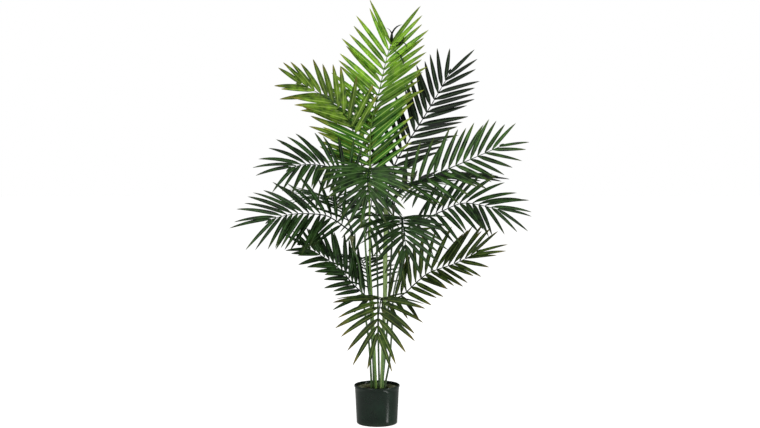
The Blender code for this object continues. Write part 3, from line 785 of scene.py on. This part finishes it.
def leafletPlan(number, spec, way, pair, side, turn, lift, shortened):
    total = lengthOf(way)
    share = pair / (spec["pairs"] - 1)
    distance = pairDistance(spec, total, pair)
    root, along, across, out = frameAt(way, distance, spec)
    wave = math.sin(2.4 * pair + 1.7 * number + side)
    opened = spec["open"][0] + (spec["open"][1] - spec["open"][0]) * share
    late = leafletShape["closesFrom"]
    closing = max(0.0, (share - late) / (1 - late))  # the last few close round the tip
    opened += (spec.get("closed", leafletShape["closed"]) - opened) * closing**1.3
    opened += 2.5 * wave + turn + spec.get("lean", 0) * side
    raised = math.radians(spec["lift"] + 4 * math.cos(1.9 * pair + number) + lift)
    opened = math.radians(max(opened, 10))
    sideways = across * side * math.cos(raised) + out * math.sin(raised)
    heading = along * math.cos(opened) + sideways * math.sin(opened)
    low, high = spec["swell"]
    longest = spec["leaf"] * (1 + 0.05 * wave)
    length = longest * math.sin(math.pi * (low + (high - low) * share)) ** 0.8 * shortened
    root = root + across * side * ribWidth(distance / total) / 2
    broad = (along - heading * along.dot(heading)).normalized()
    upper = heading.cross(broad)
    if upper.dot(out) < 0:
        upper = -upper
    sink = Vector((0, 0, -spec["droop"] * length))
    widest = leafletShape["widest"]
    width = leafletShape["width"] * (0.62 + 0.38 * math.sin(math.pi * (0.15 + 0.75 * share)))
    return {
        "root": root,
        "heading": heading,
        "length": length,
        "sink": sink,
        "middle": root + heading * length * widest + sink * widest**2,
        "tip": root + heading * length + sink,
        "broad": broad,
        "upper": upper,
        "along": along,
        "width": width * (0.6 + 0.4 * shortened),
        "pair": pair,
        "side": side,
    }


def section(place, broad, upper, width, thickness):
    wide = broad * (width / 2)
    thick = upper * (thickness / 2)
    return [place - wide + thick, place + wide + thick, place + wide - thick, place - wide - thick]


def leafletTree(plan, start):
    # the leaflet's outside, a little grown, to test against its neighbours
    grown = leafletShape["clearance"] / 2
    near = plan["root"].lerp(plan["middle"], start)
    deep = stalkShape["width"] * stalkShape["depth"]
    root = leafletShape["rootWidth"] + 2 * grown
    points = section(near, plan["broad"], plan["upper"], root, deep)
    width = plan["width"] + 2 * grown
    thickness = leafletShape["thickness"] + 2 * grown
    points += section(plan["middle"], plan["broad"], plan["upper"], width, thickness)
    points.append(plan["tip"] + (plan["tip"] - plan["middle"]).normalized() * grown)
    faces = [(i, (i + 1) % 4, 4 + (i + 1) % 4, 4 + i) for i in range(4)]
    faces += [(4 + i, 4 + (i + 1) % 4, 8) for i in range(4)]
    return ballAndTree(points, faces)


def ballAndTree(points, faces):
    # a ball round the points comes first, because it is quick to test
    middle = sum(points, Vector()) / len(points)
    radius = max((point - middle).length for point in points)
    return middle, radius, BVHTree.FromPolygons(points, faces)


def meets(first, second):
    if (first[0] - second[0]).length > first[1] + second[1]:
        return False
    return bool(first[2].overlap(second[2]))


def tubeTree(way, startRadius, endRadius):
    points = []
    faces = []
    first = (way[1] - way[0]).orthogonal()
    for i, place in enumerate(way):
        along = (way[min(i + 1, len(way) - 1)] - way[max(i - 1, 0)]).normalized()
        first = (first - along * along.dot(first)).normalized()
        second = along.cross(first)
        radius = startRadius + (endRadius - startRadius) * i / (len(way) - 1)
        points += [place + side * radius for side in (first, second, -first, -second)]
    for low in range(0, 4 * (len(way) - 1), 4):
        for j in range(4):
            after = (j + 1) % 4
            faces.append((low + j, low + after, low + 4 + after, low + 4 + j))
    return ballAndTree(points, faces)


def planLeaflets():
    ways = {name: frondWay(name, spec) for name, spec in fronds.items()}
    taken = []
    for name, spec in stems.items():
        radius = 1.3 * max(spec["radius"], stemShape["footRadius"])
        taken.append((name, tubeTree(smoothWay(stemWay(spec), 3), radius, radius)))
        top = grownPlace(spec["top"])
        sheath = [top - Vector((0, 0, stemShape["sheathLength"])), top]
        taken.append((name, tubeTree(sheath, sheathRadius * 1.3, sheathRadius * 1.3)))
    for name, way in ways.items():
        places = [placeAlong(way, row)[0] for row in ribRows(fronds[name], lengthOf(way))]
        radii = (stalkShape["width"] * 0.8, stalkShape["tipWidth"] * 0.8)
        taken.append((name, tubeTree(places, *radii)))
    plans = {name: [] for name in fronds}
    for number, (name, spec) in enumerate(fronds.items()):
        others = [tree for owner, tree in taken if owner != name]
        beside = []
        for pair in range(spec["pairs"]):
            for side in (1, -1):
                plan = clearLeaflet(number, spec, ways[name], pair, side, others, beside)
                plans[name].append(plan)
                beside.append(leafletTree(plan, 0.10))
                taken.append((name, leafletTree(plan, 0)))
    return ways, plans


def clearLeaflet(number, spec, way, pair, side, others, beside):
    for shortened in leafletShape["shortened"]:
        for turn, lift in leafletShape["turns"]:
            plan = leafletPlan(number, spec, way, pair, side, turn, lift, shortened)
            whole = leafletTree(plan, 0)
            blade = leafletTree(plan, 0.10)
            if any(meets(whole, other) for other in others):
                continue
            if not any(meets(blade, other) for other in beside):
                return plan
    return plan


ways, plans = planLeaflets()
print("leaflets planned")


def frameMatrix(place, across, out, along, wide, deep):
    matrix = Matrix.Identity(4)
    matrix.col[0] = (*(across * wide), 0)
    matrix.col[1] = (*(out * deep), 0)
    matrix.col[2] = (*(along * max(wide, deep)), 0)
    matrix.col[3] = (*place, 1)
    return matrix


def drawnOut(bm, edges):
    # new verts, edges and faces one row on, where the edges were
    grown = bmesh.ops.extrude_edge_only(bm, edges=edges)["geom"]
    verts = [part for part in grown if isinstance(part, bmesh.types.BMVert)]
    faces = [part for part in grown if isinstance(part, bmesh.types.BMFace)]
    edges = [part for part in grown if isinstance(part, bmesh.types.BMEdge)]
    return verts, [edge for edge in edges if all(vert in verts for vert in edge.verts)], faces


def drawAlong(bm, frames, sides, uvLayer, distances, material=0):
    # u runs round the ring and v along it, in metres
    ring = bmesh.ops.create_circle(
        bm, cap_ends=True, segments=sides, radius=1.0, matrix=frames[0],
    )["verts"]
    cap = ring[0].link_faces[0]
    cap.material_index = material
    edges = list(cap.edges)
    turns = {vert: i / sides for i, vert in enumerate(ring)}
    for before, after, near, far in zip(frames, frames[1:], distances, distances[1:]):
        verts, edges, faces = drawnOut(bm, edges)
        moved = {}
        for vert in verts:
            nearby = [edge.other_vert(vert) for edge in vert.link_edges]
            moved[vert] = next(turns[other] for other in nearby if other in turns)
        bmesh.ops.transform(bm, verts=verts, matrix=after @ before.inverted())
        for face in faces:
            face.smooth = True
            face.material_index = material
            shares = [moved.get(loop.vert, turns.get(loop.vert)) for loop in face.loops]
            wraps = max(shares) - min(shares) > 0.5
            for loop, share in zip(face.loops, shares):
                loop[uvLayer].uv = (
                    share + (1 if wraps and share < 0.5 else 0),
                    far if loop.vert in moved else near,
                )
        turns = moved
    for face in bmesh.ops.contextual_create(bm, geom=edges)["faces"]:
        face.material_index = material


stemLooks = {
    # body, shaded side, rings, husk at the top
    "stem_1": ("#4a6a34", "#2e4824", "#6d7a48", "#5a5a33"),
    "stem_2": ("#55793a", "#35522a", "#75834c", "#4f5a30"),
    "stem_3": ("#75983f", "#4a6a2c", "#8b9a5c", "#5c6a35"),
    "stem_4": ("#446334", "#2b4323", "#65744a", "#4a5230"),
    "stem_5": ("#98b46c", "#6b8744", "#a9b884", "#6c7f45"),
    "stem_6": ("#5d823a", "#3b5a28", "#7f8c55", "#5f5f35"),
    "stem_7": ("#566b48", "#36482f", "#6b7759", "#4a5236"),
    "stem_8": ("#5d7a3d", "#3e5626", "#7f8450", "#8a6a35"),
    "stem_9": ("#3c5330", "#263820", "#66734c", "#4a5232"),
}


def stemMaterial(name):
    # Young palm cane: waxy green skin, finely streaked, pale leaf-scar rings, a dry husk on top.
    body, shade, ring, husk = stemLooks[name]
    material, tree, surface = newMaterial("palmCane" + name[5:])
    uv = addNode(tree, "ShaderNodeUVMap", {"uv_map": "skin"})
    place = addNode(tree, "ShaderNodeTexCoord").outputs["Object"]
    parts = addNode(tree, "ShaderNodeSeparateXYZ", {}, {0: uv.outputs[0]})
    # streaks about 1 mm wide and 30 mm long
    stretch = addNode(tree, "ShaderNodeMapping", {"Scale": (900.0, 900.0, 34.0)}, {"Vector": place})
    streaks = addNode(
        tree, "ShaderNodeTexNoise", {"Scale": 1.0, "Detail": 3.0}, {"Vector": stretch.outputs[0]},
    )
    colour = addNode(
        tree, "ShaderNodeValToRGB", {"stops": [(0.32, shade), (0.62, body)]},
        {"Fac": streaks.outputs["Fac"]},
    )
    joints = calculate(tree, "DIVIDE", parts.outputs["Y"], stemShape["joint"])
    scar = smoothRange(tree, calculate(tree, "FRACT", joints), 0.0, 0.07, 0.75, 0.0)
    ringed = blendTo(tree, scar, colour.outputs["Color"], ring)
    top = grownPlace(stems[name]["top"]).z
    height = addNode(tree, "ShaderNodeSeparateXYZ", {}, {0: place}).outputs["Z"]
    dry = smoothRange(tree, height, top - 0.075, top - 0.020, 0.0, 0.85)
    tree.links.new(blendTo(tree, dry, ringed, husk), surface.inputs["Base Color"])
    addBump(tree, surface, streaks.outputs["Fac"], 0.5, 0.0004)
    surface.inputs["Roughness"].default_value = 0.45
    return material


def buildStem(name, spec):
    points = stemWay(spec)
    way = [points[0]] + smoothWay(points[1:-2], 9) + points[-2:]
    total = lengthOf(way)
    rows = [0.0]
    joint = stemShape["joint"]
    while rows[-1] < total - stemShape["sheathLength"] - 0.004:  # a row on each ring
        step = rows[-1] + stemShape["step"]
        ringAt = math.ceil((rows[-1] + 0.0001) / joint) * joint
        rows.append(min(step, ringAt) if step > ringAt - 0.0015 else step)
    rows += [total - stemShape["step"] * i for i in range(5, 0, -1)] + [total - 0.001, total]
    rows = sorted({round(min(row, total), 5) for row in rows})
    sheathFrom = points[-1].z - stemShape["sheathLength"]
    frames = []
    side = Vector((1, 0, 0))
    for row in rows:
        place, along = placeAlong(way, row)
        side = (side - along * along.dot(side)).normalized()
        rise = (place.z - points[0].z) / (sheathFrom - points[0].z)
        thicker = spec["radius"] - stemShape["footRadius"]
        radius = stemShape["footRadius"] + thicker * min(1.0, rise * 1.6)
        if place.z >= sheathFrom:
            flared = stemShape["sheathLength"] - stemShape["collar"]
            radius += (sheathRadius - radius) * min(1.0, (place.z - sheathFrom) / flared) ** 1.3
        elif min(row % joint, joint - row % joint) < stemShape["ringHalf"]:
            radius *= stemShape["ringProud"]
        if row > total - 0.0008:
            radius *= 0.90
        frames.append(frameMatrix(place, side, along.cross(side), along, radius, radius))
    bm = bmesh.new()
    skin = bm.loops.layers.uv.new("skin")
    drawAlong(bm, frames, stemShape["sides"], skin, rows)
    bmesh.ops.recalc_face_normals(bm, faces=bm.faces)
    addPiece("palmStem" + name[5:], bm, [stemMaterial(name)], name)


for name, spec in stems.items():
    buildStem(name, spec)
print("stems made")


leafLooks = {
    # face, shaded patches, midrib with a painted highlight, tip, underside, rib of the frond,
    # roughness
    "lime": ("#7aaa24", "#3f6e10", "#a3c35f", "#868f36", "#6f8a3c", "#5d8030", 0.42),
    "moss": ("#688a22", "#2b440f", "#8fa84e", "#76702a", "#5e7236", "#2f4519", 0.42),
    "green": ("#33561c", "#10220a", "#5b7a45", "#475524", "#40592f", "#1c3417", 0.38),
    "deep": ("#284517", "#0c1907", "#49683f", "#35431d", "#324b2c", "#152a15", 0.38),
    "olive": ("#3a5119", "#16270c", "#6c7a3c", "#6b6127", "#465229", "#1f2f14", 0.40),
    # near-black green: painted shade for fronds that face away or lie in shadow; the unopened tip
    # takes it too
    "inkAndPaintedShade": ("#131f0c", "#081307", "#3d5236", "#2b3218", "#293c25", "#101d11", 0.38),
}


def leafMaterial(tone, under):
    # Palm leaflet: thin waxy blade, satin above and duller below, lengthwise veins, pale midrib with
    # a painted highlight along it.
    face, shadedPatch, midribAndHighlight, tip, below, _, rough = leafLooks[tone]
    material, tree, surface = newMaterial("waxyLeaf" + tone.title() + ("Under" if under else ""))
    uv = addNode(tree, "ShaderNodeUVMap", {"uv_map": "skin"})
    place = addNode(tree, "ShaderNodeTexCoord").outputs["Object"]
    parts = addNode(tree, "ShaderNodeSeparateXYZ", {}, {0: uv.outputs[0]})
    across = calculate(tree, "FRACT", parts.outputs["X"])
    number = calculate(tree, "FLOOR", parts.outputs["X"])
    # patches about 30 mm long; the darker ones are partly painted shade
    cloud = addNode(tree, "ShaderNodeTexNoise", {"Scale": 34.0, "Detail": 3.0}, {"Vector": place})
    colour = addNode(
        tree, "ShaderNodeValToRGB",
        {"stops": [(0.36, below if under else shadedPatch), (0.64, below if under else face)]},
        {"Fac": cloud.outputs["Fac"]},
    )
    colour = colour.outputs["Color"]
    if tone == "lime":  # the brightest frond is a fuller green low down
        height = addNode(tree, "ShaderNodeSeparateXYZ", {}, {0: place}).outputs["Z"]
        colour = blendTo(tree, smoothRange(tree, height, 1.04, 1.31, 0.92, 0.0), colour, "#2a5c12")
    # veins 1.8 mm apart: twice as coarse as real ones, so that they show
    veins = calculate(tree, "SINE", calculate(tree, "MULTIPLY", across, math.tau * 9))
    # the pale stripe down the middle: the midrib's own colour, and a painted highlight along the
    # leaflet's centre
    middle = calculate(tree, "ABSOLUTE", calculate(tree, "SUBTRACT", across, 0.5))
    ridge = smoothRange(tree, middle, 0.02, 0.10, 0.85, 0.0)
    withMidribHighlight = blendTo(tree, ridge, colour, midribAndHighlight)
    worn = calculate(tree, "MULTIPLY_ADD", cloud.outputs["Fac"], 0.35, {2: parts.outputs["Y"]})
    tipped = blendTo(tree, smoothRange(tree, worn, 0.88, 1.14, 0.0, 0.9), withMidribHighlight, tip)
    # each leaflet a little lighter or darker than the next: partly its own tone, partly painted light
    # and shade
    chance = addNode(tree, "ShaderNodeTexWhiteNoise", {"noise_dimensions": "1D"}, {"W": number})
    light = addNode(
        tree, "ShaderNodeMapRange", {3: 0.62, 4: 1.42}, {0: chance.outputs["Value"]},
    )
    veinsAndPaintedLight = calculate(tree, "MULTIPLY_ADD", veins, 0.06, {2: light.outputs[0]})
    shaded = addNode(tree, "ShaderNodeHueSaturation", {}, {"Value": veinsAndPaintedLight, "Color": tipped})
    tree.links.new(shaded.outputs[0], surface.inputs["Base Color"])
    if under:
        surface.inputs["Roughness"].default_value = rough + 0.22
    else:
        gloss = addNode(
            tree, "ShaderNodeMapRange", {1: 0.3, 2: 0.7, 3: rough - 0.05, 4: rough + 0.10},
            {0: cloud.outputs["Fac"]},
        )
        tree.links.new(gloss.outputs[0], surface.inputs["Roughness"])
    raised = calculate(tree, "MULTIPLY_ADD", veins, 0.25, {2: ridge})
    addBump(tree, surface, raised, 0.55, 0.0005)
    surface.inputs["Specular IOR Level"].default_value = 0.18
    return material


def ribMaterial(tone):
    # Frond rib: smooth fibrous green stalk, a little glossy, streaked lengthwise.
    colour = leafLooks[tone][5]
    material, tree, surface = newMaterial("frondRib" + tone.title())
    uv = addNode(tree, "ShaderNodeUVMap", {"uv_map": "skin"})
    stretch = addNode(
        tree, "ShaderNodeMapping", {"Scale": (9.0, 30.0, 1.0)}, {"Vector": uv.outputs[0]},
    )
    streaks = addNode(
        tree, "ShaderNodeTexNoise", {"Scale": 1.0, "Detail": 3.0}, {"Vector": stretch.outputs[0]},
    ).outputs["Fac"]
    value = addNode(tree, "ShaderNodeMapRange", {1: 0.3, 2: 0.7, 3: 0.7, 4: 1.3}, {0: streaks})
    mixed = addNode(
        tree, "ShaderNodeHueSaturation", {"Color": linear(colour)}, {"Value": value.outputs[0]},
    )
    tree.links.new(mixed.outputs[0], surface.inputs["Base Color"])
    addBump(tree, surface, streaks, 0.4, 0.0003)
    surface.inputs["Roughness"].default_value = 0.42
    surface.inputs["Specular IOR Level"].default_value = 0.16
    return material


leafMaterials = {
    tone: [leafMaterial(tone, False), leafMaterial(tone, True), ribMaterial(tone)]
    for tone in leafLooks
}


def bladeTemplate():
    # a flat lozenge drawn out row by row: x across, y from root to tip, z above the midrib
    bm = bmesh.new()
    skin = bm.loops.layers.uv.new("skin")
    upright = Matrix.Rotation(math.pi / 2, 4, "X")
    made = bmesh.ops.create_circle(bm, cap_ends=True, segments=4, radius=1.0, matrix=upright)
    cap = made["verts"][0].link_faces[0]
    edges = list(cap.edges)
    rows = leafletShape["rows"]
    for near, far in zip(rows, rows[1:]):
        verts, edges, _ = drawnOut(bm, edges)
        bmesh.ops.translate(bm, verts=verts, vec=(0, far - near, 0))
    bmesh.ops.pointmerge(bm, verts=verts, merge_co=(0, 1, 0))
    bmesh.ops.recalc_face_normals(bm, faces=bm.faces)
    for edge in bm.edges:  # the two long sides stay sharp
        if all(abs(vert.co.x) > 0.9 or vert.co.y > 0.99 for vert in edge.verts):
            edge.smooth = False
    for face in bm.faces:
        face.smooth = True
        face.material_index = 1 if face.calc_center_median().z < 0 else 0
        for loop in face.loops:
            loop[skin].uv = (0.5 + 0.48 * loop.vert.co.x, loop.vert.co.y)
    return meshFrom("blade", bm)


def numberedBlade(blade, number):
    # its number moves its UVs on, and gives it its own lightness: partly real tone, partly painted
    # light and shade
    leaflet = bmesh.new()
    leaflet.from_mesh(blade)
    skin = leaflet.loops.layers.uv["skin"]
    for face in leaflet.faces:
        for loop in face.loops:
            loop[skin].uv.x += number
    return leaflet


def joinBlade(bm, leaflet):
    bmesh.ops.recalc_face_normals(leaflet, faces=leaflet.faces)
    made = meshFrom("leaflet", leaflet)
    bm.from_mesh(made)
    bpy.data.meshes.remove(made)


def outlineAt(t):
    # half the blade's width from root to tip, as a share of the widest
    root = leafletShape["rootShare"]
    opening = min(1.0, t / leafletShape["opens"])
    opening = opening * opening * (3 - 2 * opening)
    return (root + (1 - root) * opening) * (1 - t**3.0) ** 0.80 if t < 1 else 0.0


def bendBlade(verts, plan, spec, number):
    length = plan["length"]
    sway = math.sin(5.1 * plan["pair"] + 2.3 * number + 1.3 * plan["side"])
    bend = plan["along"] * (spec["bend"] * length * (1 + 0.7 * sway))
    twist = leafletShape["twist"] * math.sin(3.3 * plan["pair"] + number * 1.9)
    light = Vector(leafletShape["light"])
    light -= plan["heading"] * plan["heading"].dot(light)
    roll = math.degrees(math.atan2(-light.dot(plan["broad"]), light.dot(plan["upper"])))
    roll = max(-leafletShape["mostRoll"], min(leafletShape["mostRoll"], roll))
    twist = math.radians(twist + spec.get("roll", leafletShape["roll"]) * roll)
    widest = plan["width"] / 2 * spec.get("full", leafletShape["full"])
    thinning = leafletShape["thickness"] - leafletShape["tipThickness"]
    for vert in verts:
        x, t, z = vert.co
        t = min(1.0, max(0.0, t))
        place = plan["root"] + plan["heading"] * length * t + (plan["sink"] + bend) * t**2
        forward = (plan["heading"] * length + (plan["sink"] + bend) * 2 * t).normalized()
        broad = (plan["broad"] - forward * forward.dot(plan["broad"])).normalized()
        upper = forward.cross(broad)
        if upper.dot(plan["upper"]) < 0:
            upper = -upper
        turn = twist * min(1.0, t * 4)
        broad, upper = (
            broad * math.cos(turn) + upper * math.sin(turn),
            upper * math.cos(turn) - broad * math.sin(turn),
        )
        half = widest * outlineAt(t)
        fold = math.radians(leafletShape["fold"] + leafletShape["rootFold"] * (1 - t) ** 4)
        thick = leafletShape["thickness"] - thinning * t
        vert.co = (
            place
            + broad * (x * half * math.cos(fold))
            + upper * (abs(x) * half * math.sin(fold) + z * thick / 2)
        )


def buildFrond(number, name, spec, way, blade):
    total = lengthOf(way)
    rows = ribRows(spec, total)
    rows = [0.0, spec["bare"] * 0.05] + rows[1:] + [total + stalkShape["stub"]]
    frames = []
    for row in rows:
        place, along, across, out = frameAt(way, min(row, total - 0.0001), spec)
        if row > total:
            place = place + along * (row - total)
        share = min(1.0, row / total)
        wide = ribWidth(share) / 2 * (0.25 if row > total else 1.0)
        if row < spec["bare"]:
            wide *= 1.0 + stalkShape["footSwelling"] * (1 - row / spec["bare"])
        frames.append(frameMatrix(place, across, out, along, wide, wide * stalkShape["depth"]))
    bm = bmesh.new()
    skin = bm.loops.layers.uv.new("skin")
    drawAlong(bm, frames, stalkShape["sides"], skin, rows, 2)
    bmesh.ops.recalc_face_normals(bm, faces=bm.faces)
    for index, plan in enumerate(plans[name]):
        leaflet = numberedBlade(blade, index)
        bendBlade(leaflet.verts, plan, spec, number)
        joinBlade(bm, leaflet)
    tone = spec["tone"]
    addPiece("palmFrond" + name[6:], bm, leafMaterials[tone], name)


youngLeaves = {
    # small leaflets that have no place in the rows: frond, share of its rib, length, direction
    # from the rib in degrees, how far each one curls round, half its width
    "unopenedLeaflets": {  # the youngest frond's dark tip, still curled
        "tone": "inkAndPaintedShade",
        "blades": [
            ("frond_1", 0.990, 0.095, -18, 60, 0.0044), ("frond_1", 0.995, 0.070, 6, -70, 0.0044),
            ("frond_1", 0.985, 0.080, 38, 80, 0.0044), ("frond_1", 1.000, 0.050, -34, -50, 0.0044),
            ("frond_1", 0.975, 0.075, 70, -60, 0.0044), ("frond_1", 0.960, 0.085, 96, 40, 0.0044),
        ],
    },
    "brightLeaflets": {  # new growth low on the stalks
        "tone": "lime",
        "blades": [
            ("frond_11", 0.120, 0.120, -116, 8, 0.0130), ("frond_12", 0.060, 0.085, 118, -30, 0.0110),
            ("frond_11", 0.060, 0.090, -134, 16, 0.0100), ("frond_2", 0.120, 0.060, 40, -20, 0.0080),
        ],
    },
}
firstYoung = 40  # their numbers start after those of the rows


def curlBlade(verts, place, along, across, out, length, aside, curl, widest):
    steps = 12
    for vert in verts:
        x, t, z = vert.co
        t = min(1.0, max(0.0, t))
        reached = place.copy()
        for step in range(steps):  # along an arc that tightens towards the tip
            turn = math.radians(aside + curl * (t * step / steps) ** 1.5 * 1.6)
            forward = along * math.cos(turn) + across * math.sin(turn)
            forward = (forward + out * 0.35 * (step / steps) * t).normalized()
            reached += forward * length * t / steps
        broad = (out * 0.5 + across).cross(forward).cross(forward).normalized()
        upper = forward.cross(broad)
        half = widest * outlineAt(t)
        vert.co = reached + broad * x * half + upper * (abs(x) * half * 0.5 + z * 0.0004)


def buildYoungLeaves(name, spec, blade):
    bm = bmesh.new()
    bm.loops.layers.uv.new("skin")
    for index, (frond, share, *bent) in enumerate(spec["blades"]):
        distance = lengthOf(ways[frond]) * share - 0.001
        leaflet = numberedBlade(blade, firstYoung + index)
        curlBlade(leaflet.verts, *frameAt(ways[frond], distance, fronds[frond]), *bent)
        joinBlade(bm, leaflet)
    addPiece(name, bm, leafMaterials[spec["tone"]], None)


blade = bladeTemplate()
for name, spec in youngLeaves.items():
    buildYoungLeaves(name, spec, blade)
for number, (name, spec) in enumerate(fronds.items()):
    buildFrond(number, name, spec, ways[name], blade)
bpy.data.meshes.remove(blade)
print("fronds made")


stage = {
    "floor": "#fbfbf9",
    "glow": 0.80,  # a light-table floor
    "sky": 0.26,  # strength of the light from all round
    "softboxes": {
        # place, what it points at, width and height, watts
        "overhead": ((-0.6, -1.4, 3.6), (0, 0, 0.6), (2.6, 2.6), 50),
        "frontLeft": ((-2.2, -3.4, 1.5), (0, 0, 0.7), (1.4, 2.0), 58),
        "stripRight": ((2.35, -1.35, 0.20), (0, 0, 0.12), (0.24, 1.2), 45),
        # lies beside the pot, and draws the narrow bright line down its wall
        "potStrip": ((0.180, -0.139, 0.002), (0, 0, 1), (0.016, 0.24), 0.09),
    },
    "stripTurn": 63,
    "camera": (0.011, -4.1, 0.93),
    "tilt": 87.6,
    "lens": 53.95,
}


def addSoftbox(name, place, target, size, watts):
    data = bpy.data.lights.new(name, "AREA")
    data.shape = "RECTANGLE"
    data.size, data.size_y = size
    data.energy = watts
    lamp = addObject(name, data)
    lamp.location = place
    lamp.rotation_euler = (Vector(target) - Vector(place)).to_track_quat("-Z", "Y").to_euler()
    return lamp


def buildFloor():
    bm = bmesh.new()
    bmesh.ops.create_grid(bm, x_segments=1, y_segments=1, size=30.0)
    mesh = meshFrom("studioFloor", bm)
    floor = addObject("studioFloor", mesh)
    floor.location.z = -0.0002
    material, tree, surface = newMaterial("paleStudioFloor")
    surface.inputs["Base Color"].default_value = linear(stage["floor"])
    surface.inputs["Roughness"].default_value = 0.9
    surface.inputs["Emission Color"].default_value = (1, 1, 1, 1)
    seen = addNode(tree, "ShaderNodeLightPath").outputs["Is Camera Ray"]
    glow = calculate(tree, "MULTIPLY", seen, stage["glow"])
    tree.links.new(glow, surface.inputs["Emission Strength"])
    mesh.materials.append(material)


def buildSky():
    world = bpy.data.worlds.new("studio")
    world.use_nodes = True
    bpy.context.scene.world = world
    tree = world.node_tree
    sky = tree.nodes["Background"]
    sky.inputs[0].default_value = (1, 1, 1, 1)
    sky.inputs[1].default_value = stage["sky"]
    # a white backdrop for the camera, without its light on the leaves
    backdrop = addNode(tree, "ShaderNodeBackground", {0: (1, 1, 1, 1), 1: 1.0})
    seen = addNode(tree, "ShaderNodeLightPath").outputs["Is Camera Ray"]
    both = addNode(
        tree, "ShaderNodeMixShader", {}, {0: seen, 1: sky.outputs[0], 2: backdrop.outputs[0]},
    )
    tree.links.new(both.outputs[0], tree.nodes["World Output"].inputs[0])


def buildCamera():
    data = bpy.data.cameras.new("camera")
    data.lens = stage["lens"]
    data.sensor_width = 36
    camera = addObject("camera", data)
    camera.location = stage["camera"]
    camera.rotation_euler = (math.radians(stage["tilt"]), 0, 0)
    bpy.context.scene.camera = camera
    bpy.context.scene.view_settings.view_transform = "Standard"


buildFloor()
buildSky()
lamps = {name: addSoftbox(name, *looks) for name, looks in stage["softboxes"].items()}
lamps["potStrip"].rotation_euler = (math.pi, 0, math.radians(stage["stripTurn"]))
lamps["potStrip"].visible_camera = False
buildCamera()
print("stage set")
